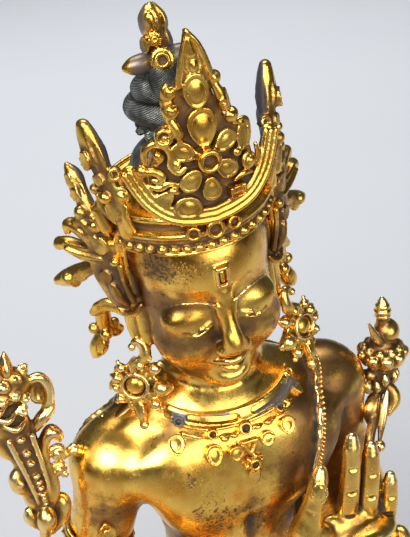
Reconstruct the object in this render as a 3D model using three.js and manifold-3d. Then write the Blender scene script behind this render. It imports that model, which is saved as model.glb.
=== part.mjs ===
// A seated Tara in gilt copper alloy: a crowned figure with both legs crossed, her left hand
// raised in front of the shoulder and her right hand open on the knee, a lotus spray beside
// each shoulder, on a separately cast double lotus base.
// Millimetres, +Z up, the figure faces -Y, the origin is the middle of the base's underside.
import * as THREE from "three";
import { mergeVertices } from "three/addons/utils/BufferGeometryUtils.js";
import Module from "manifold-3d";

const wasm = await Module();
wasm.setup();

// Driving dimensions, in millimetres.
const FINGER = 3.5; // the figure's own unit: a twelfth of the face, as in a sculptor's canon
const BASE_HEIGHT = 46; // underside to the surface that the figure sits on
const BASE_HALF_WIDTH = 86; // of the top surface, along X
const BASE_HALF_DEPTH = 56; // of the top surface, along Y
const BASE_FOOT = 5; // height of the plain foot moulding
const BASE_WAIST = 22.5; // height where the two rows of petals meet
const BASE_PETALS = 16; // petals in each of the two rows
const PETAL_BULGE = 5; // how far a petal's middle stands out from its edges
const RIM_PEARL = 1.8; // how far the pearls round the top stand out
const FIGURE_SETBACK = 16; // how far the figure's own axis stands behind the base's middle

const GILT = { color: 0xc8912e, roughness: 0.32, metalness: 1 };

// Small helpers.
const TURN = Math.PI * 2;
const vec = (p) => new THREE.Vector3(p[0], p[1], p[2]);
const lerp = (a, b, t) => a + (b - a) * t;
const repeat = (n, make) => Array.from({ length: n }, (_, i) => make(i));

// A value read along a list of evenly spaced values, at t from 0 to 1.
function along(list, t) {
  const place = Math.min(t, 1) * (list.length - 1);
  const i = Math.min(Math.floor(place), list.length - 2);
  return lerp(list[i], list[i + 1], place - i);
}

// A closed geometry as a solid, with its faces turned outwards.
function solid(geometry) {
  const flat = geometry.index ? geometry.toNonIndexed() : geometry;
  const bare = new THREE.BufferGeometry().setAttribute("position", flat.getAttribute("position"));
  const merged = mergeVertices(bare, 1e-4);
  const xyz = merged.attributes.position.array;
  const faces = [];
  let volume = 0;
  for (let i = 0; i < merged.index.count; i += 3) {
    const [a, b, c] = [0, 1, 2].map((k) => merged.index.array[i + k]);
    if (a === b || b === c || c === a) continue;
    faces.push([a, b, c]);
    const [p, q, r] = [a, b, c].map((k) => new THREE.Vector3().fromArray(xyz, k * 3));
    volume += p.dot(q.cross(r));
  }
  const out = volume < 0 ? faces.map(([a, b, c]) => [a, c, b]) : faces;
  return new wasm.Manifold(
    new wasm.Mesh({ numProp: 3, vertProperties: xyz, triVerts: new Uint32Array(out.flat()) }),
  );
}

// Geometries and solids joined into one solid.
function union(parts) {
  const made = parts.flat(3).map((part) => (part.isBufferGeometry ? solid(part) : part));
  return made.reduce((sum, next) => sum.add(next));
}

// The surface through a row of equal rings, closed at both ends by a fan.
function skin(rings) {
  const xyz = [];
  const face = (...corners) => corners.forEach((p) => xyz.push(p.x, p.y, p.z));
  const sides = rings[0].length;
  const middle = (ring) => ring.reduce((s, p) => s.add(p), new THREE.Vector3()).divideScalar(sides);
  const first = middle(rings[0]);
  const last = middle(rings.at(-1));
  for (let j = 0; j < sides; j++) {
    const k = (j + 1) % sides;
    for (let i = 0; i + 1 < rings.length; i++) {
      face(rings[i][j], rings[i][k], rings[i + 1][k]);
      face(rings[i][j], rings[i + 1][k], rings[i + 1][j]);
    }
    face(first, rings[0][k], rings[0][j]);
    face(last, rings.at(-1)[j], rings.at(-1)[k]);
  }
  const place = new THREE.Float32BufferAttribute(xyz, 3);
  return new THREE.BufferGeometry().setAttribute("position", place);
}

// Level oval sections stacked in Z, each [height, half width, front, back], with flutes.
function stack(sections, sides, flute = 0) {
  return skin(
    sections.map(([z, width, front, back]) =>
      repeat(sides, (j) => {
        const turn = (TURN * (j + 0.5)) / sides;
        const swell = j % 2 ? 1 : 1 - flute;
        const y = (front + back) / 2 + (Math.sin(turn) * swell * (back - front)) / 2;
        return new THREE.Vector3(width * swell * Math.cos(turn), y, z);
      }),
    ),
  );
}

// A limb, stalk or ribbon: an oval section swept through points. Each size is a radius, or
// [half width, half thickness], with the width kept along the direction given as wide.
function sweep(points, sizes, { sides = 5, steps = points.length, wide = null } = {}) {
  const curve = new THREE.CatmullRomCurve3(points.map(vec), false, "centripetal");
  const frames = curve.computeFrenetFrames(steps, false);
  const widths = sizes.map((s) => s[0] ?? s);
  const thicks = sizes.map((s) => s[1] ?? s);
  const rings = repeat(steps + 1, (i) => {
    const t = curve.getUtoTmapping(i / steps);
    const centre = curve.getPoint(t);
    const tangent = frames.tangents[i];
    let across = frames.normals[i].clone();
    if (wide) across = vec(wide).addScaledVector(tangent, -vec(wide).dot(tangent)).normalize();
    const thin = new THREE.Vector3().crossVectors(tangent, across);
    return repeat(sides, (j) =>
      centre
        .clone()
        .addScaledVector(across, Math.cos((TURN * j) / sides) * along(widths, t))
        .addScaledVector(thin, Math.sin((TURN * j) / sides) * along(thicks, t)),
    );
  });
  return skin(rings);
}

function ellipsoid(centre, radii, around = 8, down = 5) {
  return new THREE.SphereGeometry(1, around, down)
    .rotateX(Math.PI / 2)
    .scale(...radii)
    .translate(...centre);
}

function pearl(centre, radius) {
  return new THREE.OctahedronGeometry(radius * 1.15, 0).translate(...centre);
}

// A turned form, its profile given as [radius, height], stood on a point along a direction.
function turned(profile, base, direction, segments = 6) {
  const facing = new THREE.Quaternion().setFromUnitVectors(
    new THREE.Vector3(0, 1, 0),
    vec(direction).normalize(),
  );
  return new THREE.LatheGeometry(profile.map(([r, h]) => new THREE.Vector2(r, h)), segments)
    .applyQuaternion(facing)
    .translate(...base);
}

// A stone's empty setting: a short cup with a hollow face.
function setting(base, direction, radius, height = 0.45, segments = 6) {
  const inner = radius * 0.66;
  const rim = [[0, -height], [radius, -height * 0.5], [radius, height], [inner, height]];
  return turned([...rim, [0, height * 0.2]], base, direction, segments);
}

// A drop-shaped boss, pointed at its far end.
function drop(base, direction, radius, length, segments = 6) {
  const profile = [[0, -radius], [radius, 0], [radius * 0.75, 0.5 * length], [0, length]];
  return turned(profile, base, direction, segments);
}

// A curled tendril in an upright plane, opening towards +X or -X.
function scroll(centre, radius, thick, start, side) {
  const points = repeat(5, (i) => {
    const turn = start + i * 1.15;
    const r = radius * (1 - i * 0.15);
    return [centre[0] + side * r * Math.cos(turn), centre[1], centre[2] + r * Math.sin(turn)];
  });
  return sweep(points, [thick * 0.8, thick * 1.2, thick * 1.2], { sides: 3, steps: 3 });
}

// The figure, in fingers from the middle of its seat, before it is set on the base. Each
// section of the trunk is [height, half width, front, back].
const TRUNK = [
  [0, 9.8, -6.4, 6.6],
  [5, 10.4, -6.0, 7.0],
  [10, 8.4, -5.2, 6.0],
  [16, 6.0, -4.6, 4.2],
  [22, 6.8, -4.8, 4.3],
  [28, 8.7, -5.2, 5.0],
  [32, 9.8, -4.7, 4.8],
  [34.2, 9.0, -3.9, 4.4],
  [35.6, 6.2, -3.0, 4.0],
  [36.8, 3.2, -2.2, 3.6],
];
const SHOULDER = [10.5, -0.1, 31.9];
const NECK_PIVOT = [0, 0.5, 37];
const HEAD_NOD = 0.127; // radians forward
const HEAD_LEAN = 0.096; // radians towards her right shoulder
const HEAD_TURN = -0.052; // radians about the neck, towards her right
const HEAD_SHIFT = [0, 0.38, -1.13]; // of the nodding head on the neck
const SHAWL_LIFT = 0.5; // how far the shawl stands off the body
const SHAWL_EDGE = 5.6; // where its front edge crosses the chest

// The point of the trunk's surface at a height and an angle from straight ahead.
function onTrunk(z, angle, lift = 0) {
  const i = TRUNK.findIndex((s) => s[0] >= z);
  const [low, high] = [TRUNK[i - 1], TRUNK[i]];
  const share = (z - low[0]) / (high[0] - low[0]);
  const [, width, front, back] = low.map((value, k) => lerp(value, high[k], share));
  const depth = (back - front) / 2;
  const y = (front + back) / 2 - (depth + lift) * Math.cos(angle);
  return [(width + lift) * Math.sin(angle), y, z];
}

function trunk() {
  return union([
    stack(TRUNK, 12),
    sweep([[0, 0.8, 34], [-0.2, 0.2, 40]], [3.4, 3.1], { sides: 8, steps: 1 }),
    ellipsoid([3.9, -3.0, 27.4], [3.8, 2.6, 3.6], 7, 4),
    ellipsoid([-3.9, -3.0, 27.4], [3.8, 2.6, 3.6], 7, 4),
  ]);
}

// The shawl lies over her left shoulder and across the back.
function shawl() {
  const grown = TRUNK.slice(3, -1).map(([z, width, front, back]) => [
    z + 0.3,
    width + SHAWL_LIFT,
    front - SHAWL_LIFT,
    back + SHAWL_LIFT,
  ]);
  const cloth = solid(stack(grown, 12));
  const overShoulder = solid(new THREE.BoxGeometry(12, 20, 24).translate(SHAWL_EDGE + 6, 0, 28));
  const behind = solid(new THREE.BoxGeometry(30, 10, 16).translate(0, 6.4, 29));
  const fold = (i) =>
    sweep(
      repeat(3, (k) => onTrunk(33 - k * 6.5, 0.92 + i * 0.36, 0.4)),
      [0.3, 0.55, 0.35],
      { sides: 3, steps: 2 },
    );
  const edge = repeat(5, (k) => [SHAWL_EDGE + 1.5 * (k === 0), -3.2 - k * 0.62, 36 - k * 2.9]);
  return union([
    cloth.intersect(overShoulder),
    cloth.intersect(behind),
    sweep(edge, [0.5, 0.55, 0.5], { sides: 4, steps: 4 }),
    repeat(2, fold),
  ]);
}

// Her right arm hangs to the knee.
function rightArm() {
  const shoulder = [-SHOULDER[0], SHOULDER[1], SHOULDER[2]];
  return union([
    ellipsoid(shoulder, [2.9, 2.9, 3.0], 8, 5),
    sweep(
      [shoulder, [-11.5, 0.3, 26], [-13.4, 0.9, 20.0], [-14.5, -2.8, 15.8], [-15.2, -8.8, 11.6]],
      [2.85, 2.55, 2.0, 1.95, 1.3],
      { sides: 7, steps: 6 },
    ),
  ]);
}

// Her left arm, under the shawl, bends up in front of the shoulder.
function leftArm() {
  return union([
    ellipsoid(SHOULDER, [3.1, 3.1, 3.1], 8, 5),
    sweep(
      [SHOULDER, [11.7, 0.4, 26], [13.4, 1.0, 20.2], [12.0, -3.0, 18.6], [9.9, -6.2, 20.2]],
      [3.0, 2.9, 2.4, 1.9, 1.35],
      { sides: 7, steps: 6 },
    ),
  ]);
}

function finger(points, radius) {
  return sweep(points, [radius, radius, radius * 0.9, radius * 0.5], { sides: 5, steps: 2 });
}

// The raised left hand: an open palm to the front, the ring finger bent to the stalk.
function raisedHand() {
  const palm = sweep(
    [[9.8, -6.4, 20.0], [9.4, -7.0, 22.2], [8.8, -7.3, 24.6]],
    [[1.6, 1.1], [2.4, 1.15], [2.2, 0.8]],
    { sides: 7, steps: 2, wide: [1, 0.25, -0.3] },
  );
  return union([
    palm,
    finger([[7.5, -7.2, 23.2], [7.8, -7.5, 27.4], [8.1, -7.2, 31.7]], 0.72),
    finger([[9.1, -7.2, 23.0], [9.4, -7.4, 26.8], [9.6, -7.2, 30.6]], 0.72),
    finger([[10.2, -7.1, 22.4], [10.6, -8.3, 24.2], [9.9, -9.0, 22.6]], 0.62),
    finger([[10.9, -7.0, 21.4], [11.2, -7.3, 24.2], [11.3, -7.2, 27.0]], 0.6),
    finger([[8.0, -6.9, 20.6], [5.4, -7.2, 24.4], [4.9, -7.9, 29.6]], 0.85),
  ]);
}

// The right hand lies open on the knee, its palm turned forward.
function openHand() {
  const palm = sweep(
    [[-15.2, -8.9, 11.3], [-15.5, -11.2, 9.8], [-15.6, -12.8, 7.8]],
    [[1.35, 1.1], [2.2, 0.95], [2.3, 0.75]],
    { sides: 7, steps: 2, wide: [1, 0, 0] },
  );
  const digit = (i) => {
    const x = -17.2 + i * 1.12;
    const y = -12.2 - [1.9, 2.4, 2.5, 2.1][i];
    return finger([[x, -12.1, 8.8], [x, lerp(-12.2, y, 0.7), 6.2], [x, y, 3.4]], 0.6);
  };
  return union([
    palm,
    finger([[-14, -10.4, 10.4], [-12.7, -12.2, 9.1], [-12.6, -14, 7.0]], 0.72),
    repeat(4, digit),
  ]);
}

// Crossed legs under thin cloth; her right shin lies over the left.
function leg(side) {
  const knee = [side * 18.6, -5.6, 4.4];
  const shin =
    side < 0
      ? [knee, [-11, -10.0, 4.8], [-3, -10.8, 5.8], [4.2, -9.4, 7.2]]
      : [knee, [11, -10.8, 3.9], [2.5, -12.2, 3.4], [-3.5, -11.4, 4.2]];
  const fold = (i) => {
    const x = side * (10 + i * 4.5);
    const [y, z, r] = [-1.4 - i * 1.1, 5.1 - i * 0.1, 4.85 - i * 0.25];
    const ring = (a) => [x + side * 0.4 * a, y - r * Math.cos(a), z + r * Math.sin(a)];
    return sweep([0.3, 1.1, 1.9].map(ring), [0.25, 0.6, 0.25], { sides: 3, steps: 2 });
  };
  return union([
    sweep([[side * 4, 2, 4.8], [side * 11, -1.6, 5.2], knee], [4.8, 4.7, 3.9], { sides: 8, steps: 2 }),
    ellipsoid(knee, [4.0, 4.0, 3.9], 8, 5),
    sweep(shin, [3.5, 3.0, 2.4, 1.7], { sides: 7, steps: 3 }),
    repeat(2, fold),
  ]);
}

// An upturned sole with its toes.
function foot(heel, toes) {
  const [from, to] = [vec(heel), vec(toes)];
  const forward = to.clone().sub(from);
  const across = new THREE.Vector3().crossVectors(forward, new THREE.Vector3(0, -0.4, 1)).normalize();
  const at = (share) => from.clone().lerp(to, share).toArray();
  const ball = (share, aside) => from.clone().lerp(to, share).addScaledVector(across, aside).toArray();
  return union([
    sweep([at(-0.1), at(0.3), at(0.7), at(0.9)], [[1.2, 1.0], [1.3, 1.0], [1.75, 0.85], [1.6, 0.5]], {
      sides: 6,
      steps: 3,
      wide: across.toArray(),
    }),
    sweep([ball(0.97, 1.5), ball(0.84, -1.4)], [0.75, 0.5], { sides: 5, steps: 1 }),
  ]);
}

// The skirt's hem, spread as a pleated fan before the legs.
function hem() {
  const pleats = 7;
  const at = (turn, r, z) =>
    new THREE.Vector3(-r * 1.25 * Math.cos(turn), -10.2 - r * Math.sin(turn), z);
  const rings = repeat(pleats * 2 + 1, (i) => {
    const turn = Math.PI * (i / (pleats * 2));
    const rise = i % 2 ? 0.5 : 0;
    return [at(turn, 0.2, -0.4), at(turn, 5.2 + rise, -0.4), at(turn, 5.0 + rise, 0.7 + rise), at(turn, 0.2, 1.9 + rise)];
  });
  return skin(rings);
}

// A belt with studs and a hanging jewel below the waist.
function girdle() {
  const at = (angle, lift) => onTrunk(11.2 - 1.2 * Math.cos(angle), angle, lift);
  const belt = repeat(7, (i) => at(((i - 3) * Math.PI) / 6, 0));
  return union([
    sweep(belt, [0.5, 0.5], { sides: 3, steps: 6 }),
    repeat(3, (i) => pearl(at((i - 1) * 0.6, 0.25), 0.8)),
    drop(onTrunk(8.8, 0, 0.4), [0, -0.3, -1], 0.8, 1.6),
  ]);
}

// Broad collar with hanging drops, the longest in the middle.
function necklace() {
  const at = (angle, r, down) => [
    r * 1.05 * Math.sin(angle),
    0.4 - (r + 0.55) * Math.cos(angle),
    35.9 - 1.75 * Math.cos(angle) - down,
  ];
  const collar = (i) => at(((i - 4) * Math.PI) / 5, 4.5, 0.35);
  const places = [[0.15, 32.4], [0.36, 32.9], [0.6, 34]];
  const hanging = [-1, 1].map((side) =>
    places.map(([angle, z]) => drop(onTrunk(z, side * angle, 0.3), [0, -0.2, -1], 0.75, 1.9, 5)),
  );
  return union([
    sweep(repeat(9, collar), [[0.4, 1.0], [0.55, 1.15], [0.4, 1.0]], { sides: 4, steps: 8, wide: [0, 0.5, 0.2] }),
    hanging,
    drop(onTrunk(31.2, 0.03, 0.2), [0, -0.2, 1], 0.8, 1.6, 5),
    setting(onTrunk(30.3, 0.04, 0.5), [0, -1, 0.1], 0.8),
    drop(onTrunk(29.5, 0.05, 0.3), [0, -0.2, -1], 0.75, 1.6, 5),
  ]);
}

// The head, before it nods and leans. Its face is a plain ideal one on even thirds, from the
// chin at 40 to the hairline at 52.
const HEAD = [
  [39.8, 1.8, -4.9, -1.5],
  [41.2, 3.6, -5.7, 0.8],
  [44, 4.9, -5.9, 3.0],
  [48, 5.35, -6.0, 5.2],
  [53, 5.2, -5.5, 5.9],
  [55.5, 4.2, -4.2, 4.9],
];

function face() {
  const nose = [[48, 0.25, -6.2], [46, 0.45, -6.8], [44.3, 0.95, -7.4], [43.8, 0.8, -6.7]];
  const feature = (side) => [
    sweep([[side * 0.7, -5.8, 47.7], [side * 2.1, -5.6, 48.4], [side * 4.1, -4.2, 47.6]], [0.3, 0.3], {
      sides: 3,
      steps: 2,
    }),
    ellipsoid([side * 2.3, -4.9, 46.4], [1.6, 1.1, 0.7], 5, 3),
  ];
  return union([
    stack(HEAD, 12),
    skin(nose.map(([z, half, y]) => [[-half, -5.2, z], [half, -5.2, z], [0, y, z]].map(vec))),
    feature(1),
    feature(-1),
    ellipsoid([0, -5.6, 42.7], [1.25, 0.75, 0.5], 6, 3),
    ellipsoid([0, -4.7, 41.1], [1.3, 1.15, 0.95], 6, 3),
    new THREE.BoxGeometry(1.1, 0.9, 1.7).translate(0, -5.85, 50),
  ]);
}

function ear(side) {
  const lobe = [[side * 5.0, -0.2, 49.2], [side * 5.4, -0.3, 46], [side * 5.7, -0.6, 42.6]];
  return sweep(lobe, [[1.4, 0.6], [1.1, 0.6], [0.8, 0.45]], { sides: 5, steps: 2, wide: [0, 1, 0] });
}

// A rosette of petals round a stone's setting, hung from a hook, with a drop below.
function earring(side) {
  const centre = [side * 6.75, -1.4, 39.3];
  const facing = vec([side * 0.5, -0.82, 0.2]).normalize();
  const right = new THREE.Vector3(-facing.y, facing.x, 0).normalize();
  const up = new THREE.Vector3().crossVectors(facing, right);
  up.multiplyScalar(Math.sign(up.z));
  const place = (r, turn, forward = 0) =>
    vec(centre)
      .addScaledVector(right, r * Math.cos(turn))
      .addScaledVector(up, r * Math.sin(turn))
      .addScaledVector(facing, forward)
      .toArray();
  const rays = repeat(16, (i) => new THREE.Vector2(...[Math.cos, Math.sin].map((f) => {
    return (i % 2 ? 1.75 : 2.45) * f((TURN * i) / 16);
  })));
  const plate = new THREE.ExtrudeGeometry(new THREE.Shape(rays), { depth: 0.8, bevelEnabled: false });
  const basis = new THREE.Matrix4().makeBasis(right, up, new THREE.Vector3().crossVectors(right, up));
  plate.translate(0, 0, -0.4).applyMatrix4(basis).translate(...centre);
  return union([
    plate,
    setting(place(0, 0, 0.5), facing.toArray(), 1.2, 0.5),
    sweep([[side * 5.7, -0.7, 42.9], [side * 6.7, -1.3, 42.2], place(1.5, Math.PI / 2)], [0.6, 0.5], { steps: 2 }),
    drop(place(2.5, -Math.PI / 2), [0, 0, -1], 0.85, 3.0, 5),
  ]);
}

// Hair drawn up through the crown into a tall fluted knot with a jewel on top.
function hair() {
  const dome = [[53, 5.0, -4.3, 5.7], [56, 3.9, -3.5, 4.6], [58.4, 1.7, -1.2, 2.6]];
  const knot = [[58.0, 1.5, -0.8, 2.4], [59.3, 2.7, -1.8, 3.6], [60.9, 2.6, -1.7, 3.5], [62.3, 1.4, -0.7, 2.3]];
  const bud = (direction) => drop([0, 0.7, 63.2], direction, 0.95, 2.8, 4);
  return union([
    ellipsoid([0, 0.5, 50.0], [5.5, 6.0, 7.2], 10, 5),
    stack(dome, 12, 0.1),
    stack(knot, 12, 0.14),
    sweep([[0, 0.7, 61.5], [0, 0.6, 65.6]], [1.3, 1.0], { sides: 6, steps: 1 }),
    [[-1, 0, -0.05], [1, 0, -0.05], [0, 1, -0.1]].map(bud),
    setting([0, -0.8, 64.1], [0, -1, 0.1], 0.9, 0.7),
    turned([[0, -0.6], [1.15, 0.1], [1.0, 1.0], [0, 2.1]], [0, 0.6, 65.1], [0, 0, 1]),
  ]);
}

// The crown's band: a ridged hoop that dips towards the ears, scalloped along its lower edge,
// with a setting and two bosses in front.
const BAND = { width: 5.8, depth: 6.2, dip: 0.9 };

function onBand(angle, lift, z) {
  const dip = BAND.dip * Math.min((1 - Math.cos(angle)) ** 2, 1);
  const depth = BAND.depth + lift;
  return [(BAND.width + lift) * Math.sin(angle), 0.1 - depth * Math.cos(angle), z - dip];
}

function band() {
  const profile = [[-1.0, 52.6], [0.3, 52.3], [0, 53.4], [0.35, 54.2], [-1.0, 54.6]];
  const around = 28;
  const xyz = [];
  const corner = ([i, k]) => {
    const [lift, z] = profile[k % profile.length];
    const notch = k === 1 && i % 2 ? 0.4 : 0;
    xyz.push(...onBand((TURN * (i % around)) / around, lift - notch * 0.6, z + notch));
  };
  for (let i = 0; i < around; i++) {
    for (let k = 0; k < profile.length; k++) {
      [[i, k], [i + 1, k], [i + 1, k + 1], [i, k], [i + 1, k + 1], [i, k + 1]].forEach(corner);
    }
  }
  const place = new THREE.Float32BufferAttribute(xyz, 3);
  const hoop = new THREE.BufferGeometry().setAttribute("position", place);
  return union([
    hoop,
    setting(onBand(0, 0.35, 53.7), [0, -1, 0.1], 0.9, 0.5),
    [-0.28, 0.28].map((a) => drop(onBand(a, 0.2, 53.6), [a, -1, 0.1], 0.7, 0.5, 5)),
  ]);
}

// The tall leaf in front: a curved plate with a flower, two bosses, scrolls at its edges and
// a crescent that cradles it.
const LEAF = [
  [54.2, 3.2],
  [56.4, 4.4],
  [59, 3.7],
  [61.8, 2.7],
  [64.6, 1.5],
  [67.4, 0.2],
];

function frontLeaf() {
  const front = -6.3;
  const bend = 0.05;
  const rings = LEAF.map(([z, half]) => {
    const at = (share, y) => new THREE.Vector3(share * half, y + bend * (share * half) ** 2, z);
    return [at(-1, front + 0.3), at(-0.4, front), at(0.4, front), at(1, front + 0.3), at(0, front + 1)];
  });
  const petal = (i) => {
    const turn = (TURN * i) / 6;
    const start = [1.2 * Math.sin(turn), front, 59 + 1.2 * Math.cos(turn)];
    return drop(start, [Math.sin(turn), 0, Math.cos(turn)], 0.75, 1.2, 4);
  };
  const edge = (s) => [
    scroll([s * 2.8, front + 0.5, 60.8], 0.9, 0.42, 2.6, s),
    scroll([s * 3.4, front + 0.7, 57.8], 0.9, 0.42, 3.6, s),
  ];
  const cradle = [
    [-4.9, -4.5, 58.7],
    [-4.3, -5.3, 56.9],
    [-2.6, -6.3, 55.6],
    [0, -6.7, 55.2],
    [2.6, -6.3, 55.6],
    [4.3, -5.3, 56.9],
    [4.9, -4.5, 58.7],
  ];
  return union([
    skin(rings),
    [1, 2, 3, 4, 5].map(petal),
    edge(1),
    edge(-1),
    sweep(cradle, [0.35, 0.55, 0.55, 0.35], { sides: 4, steps: 7 }),
    ellipsoid([0, front, 61.6], [1.05, 0.75, 1.4], 6, 4),
    ellipsoid([0, front, 63.8], [0.9, 0.65, 1.0], 6, 3),
    setting([0, front - 0.2, 59.2], [0, -1, 0.05], 1.05, 0.6),
  ]);
}

// A bud-tipped leaf beside it, seen on edge from the front.
function budLeaf(side) {
  const wide = [side * 0.42, 0.9, 0];
  const beside = (s, z) => [side * 5.8 + wide[0] * s, -2.6 + wide[1] * s, z];
  return union([
    sweep(
      [[side * 5.1, -3.2, 54], [side * 5.4, -3.0, 57], [side * 6.0, -2.8, 60.2]],
      [[1.7, 0.6], [1.7, 0.6], [0.8, 0.6]],
      { sides: 5, steps: 3, wide },
    ),
    drop([side * 6.1, -2.8, 60.2], [side * 0.2, 0.1, 1], 0.9, 2.4, 5),
    drop(beside(1.2, 57.8), [side * 0.75, 0.3, 1], 0.75, 2.0, 4),
  ]);
}

// A fan of ribbon ends above the ear and a beaded tassel behind it.
function earFan(side) {
  const root = [side * 5.6, -0.2, 51];
  const lobe = ([x, y, z, size]) => {
    const tip = [side * x, y, z];
    return sweep([root, tip], [size * 0.9, size * 0.8, size * 1.3, size * 0.7], { sides: 4, steps: 3 });
  };
  const tips = [
    [7.6, 1.0, 54.0, 0.7],
    [9.1, 2.0, 52.1, 0.65],
    [10.0, 1.6, 49.4, 0.75],
  ];
  return union([
    ellipsoid(root, [1.3, 1.9, 2.2], 6, 4),
    tips.map(lobe),
    sweep([[side * 4.6, 1.0, 46], [side * 7.4, 3.0, 44.3], [side * 7.9, 3.5, 42.2]], [0.7, 0.5, 0.6], {
      sides: 4,
      steps: 3,
    }),
    [-0.65, 0.65].map((s) => pearl([side * 7.9 + s, 3.4, 41.7], 0.85)),
    drop([side * 8.2, 3.6, 41.2], [side * 0.35, 0.1, -1], 0.8, 2.0, 4),
  ]);
}

// Everything above the neck, nodded forward and leant towards her right shoulder.
function head() {
  const sides = [1, -1].map((side) => [ear(side), earring(side), budLeaf(side), earFan(side)]);
  const upright = union([face(), hair(), band(), frontLeaf(), sides]);
  const pivot = vec(NECK_PIVOT);
  const turn = new THREE.Matrix4()
    .makeTranslation(pivot.clone().add(vec(HEAD_SHIFT)))
    .multiply(new THREE.Matrix4().makeRotationZ(HEAD_TURN))
    .multiply(new THREE.Matrix4().makeRotationY(-HEAD_LEAN))
    .multiply(new THREE.Matrix4().makeRotationX(HEAD_NOD))
    .multiply(new THREE.Matrix4().makeTranslation(pivot.clone().negate()));
  return upright.transform(turn.elements);
}

// A ring of out-turned petals round the top of a lotus, as one scalloped cup.
function petals(base, axis, size, count) {
  const up = vec(axis).normalize();
  const out = new THREE.Vector3(0, 1, 0).cross(up).normalize();
  const back = new THREE.Vector3().crossVectors(up, out);
  const levels = [[0.5, -0.6, 0], [0.95, -0.1, 0.06], [1.15, 0.3, 0.16], [0.6, 0.1, 0]];
  return skin(
    levels.map(([r, h, scallop]) =>
      repeat(count * 2, (i) => {
        const turn = (Math.PI * i) / count;
        const reach = r * size * (i % 2 ? 1 - scallop : 1 + scallop);
        return vec(base)
          .addScaledVector(out, reach * Math.cos(turn))
          .addScaledVector(back, reach * Math.sin(turn))
          .addScaledVector(up, h * size + (i % 2 ? 0 : scallop * size));
      }),
    ),
  );
}

// The lotus beside her right shoulder, on a stalk from the hand on the knee.
function rightSpray() {
  const calyx = [-15.4, -1, 28.2];
  const throat = [-16.0, -1, 38.4];
  return union([
    sweep(
      [[-15.4, -10.8, 10.3], [-17.6, -7.4, 12.8], [-18.0, -3.4, 18], [-16.2, -1.2, 24], calyx],
      [0.55, 0.55, 0.6],
      { sides: 4, steps: 7 },
    ),
    ellipsoid(calyx, [1.2, 1.1, 1.4], 6, 4),
    sweep([calyx, [-15.7, -1, 33.4], throat], [[0.75, 0.8], [1.1, 1.0], [1.6, 1.4]], { sides: 6, steps: 2 }),
    petals(throat, [-0.1, 0, 1], 2.3, 6),
    drop([-16.0, -1, 39.2], [0, 0, 1], 1.7, 4.0),
    scroll([-14.1, -1, 39.2], 1.0, 0.55, -1.2, 1),
    scroll([-14.2, -1, 35.8], 1.2, 0.6, -1.2, 1),
    scroll([-14.4, -1, 31.2], 1.0, 0.55, -1.4, 1),
    sweep([[-15.0, -0.9, 33.2], [-12.6, 0, 33.2], [-10.8, 0.2, 32.6]], [0.55, 0.55, 0.7], { sides: 4, steps: 2 }),
  ]);
}

// The lotus beside her left shoulder, on a stalk held by the raised hand.
function leftSpray() {
  const calyx = [14.5, -0.7, 26.6];
  const ring = [14.9, -0.6, 32.2];
  const finial = [[0, -0.8], [1.0, -0.2], [0.75, 0.6], [0.4, 1.6], [0, 2.1]];
  return union([
    sweep(
      [[10.0, -6.6, 20.8], [12.8, -6.0, 18.4], [15.6, -3.0, 19.4], [15.2, -1.4, 22.8], calyx],
      [0.5, 0.5, 0.65],
      { sides: 4, steps: 7 },
    ),
    sweep([calyx, [14.7, -0.7, 29.6], ring], [0.75, 1.0, 1.7], { sides: 5, steps: 2 }),
    petals(ring, [0.05, 0, 1], 1.85, 7),
    ellipsoid([15.0, -0.6, 34.4], [1.65, 1.6, 2.4], 7, 4),
    turned(finial, [14.75, -0.6, 36.7], [0, 0, 1]),
    drop([13.6, -1.0, 33.2], [-0.3, 0, 1], 0.6, 2.4, 4),
    scroll([15.6, -0.7, 28.2], 0.9, 0.5, -1.4, 1),
    scroll([13.7, -0.7, 28.6], 0.95, 0.5, -1.4, -1),
    sweep([[13.9, -0.6, 30.4], [12.6, -0.2, 31.0], [11.2, 0, 31.4]], [0.6, 0.55, 0.7], { sides: 4, steps: 2 }),
  ]);
}

// Armlets with a leaf, and wrist rings.
function armOrnaments() {
  const bangle = (from, to, radius) => sweep([from, to], [radius, radius], { sides: 8, steps: 1 });
  return union([
    bangle([-11.3, 0.25, 27.0], [-11.55, 0.3, 25.9], 2.95),
    bangle([11.5, 0.35, 26.6], [11.8, 0.45, 25.4], 3.3),
    drop([-11.4, -2.4, 26.4], [0.05, -0.12, 1], 0.95, 2.2, 4),
    bangle([-15.05, -7.4, 12.8], [-15.15, -8.3, 12.1], 1.8),
    bangle([10.2, -5.8, 19.8], [9.8, -6.4, 20.5], 1.75),
  ]);
}

function figure() {
  const whole = union([
    trunk(),
    shawl(),
    rightArm(),
    leftArm(),
    raisedHand(),
    openHand(),
    leg(1),
    leg(-1),
    foot([3.4, -9.6, 7.4], [11.4, -6.4, 9.4]),
    foot([-3.2, -7.0, 7.6], [-11.0, -5.4, 9.2]),
    hem(),
    girdle(),
    necklace(),
    armOrnaments(),
    rightSpray(),
    leftSpray(),
    head(),
  ]);
  const below = solid(new THREE.BoxGeometry(80, 80, 20).translate(0, 0, -10));
  const toMillimetres = new THREE.Matrix4()
    .makeTranslation(0, FIGURE_SETBACK, BASE_HEIGHT)
    .multiply(new THREE.Matrix4().makeScale(FINGER, FINGER, FINGER));
  return whole.subtract(below).transform(toMillimetres.elements);
}

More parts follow.
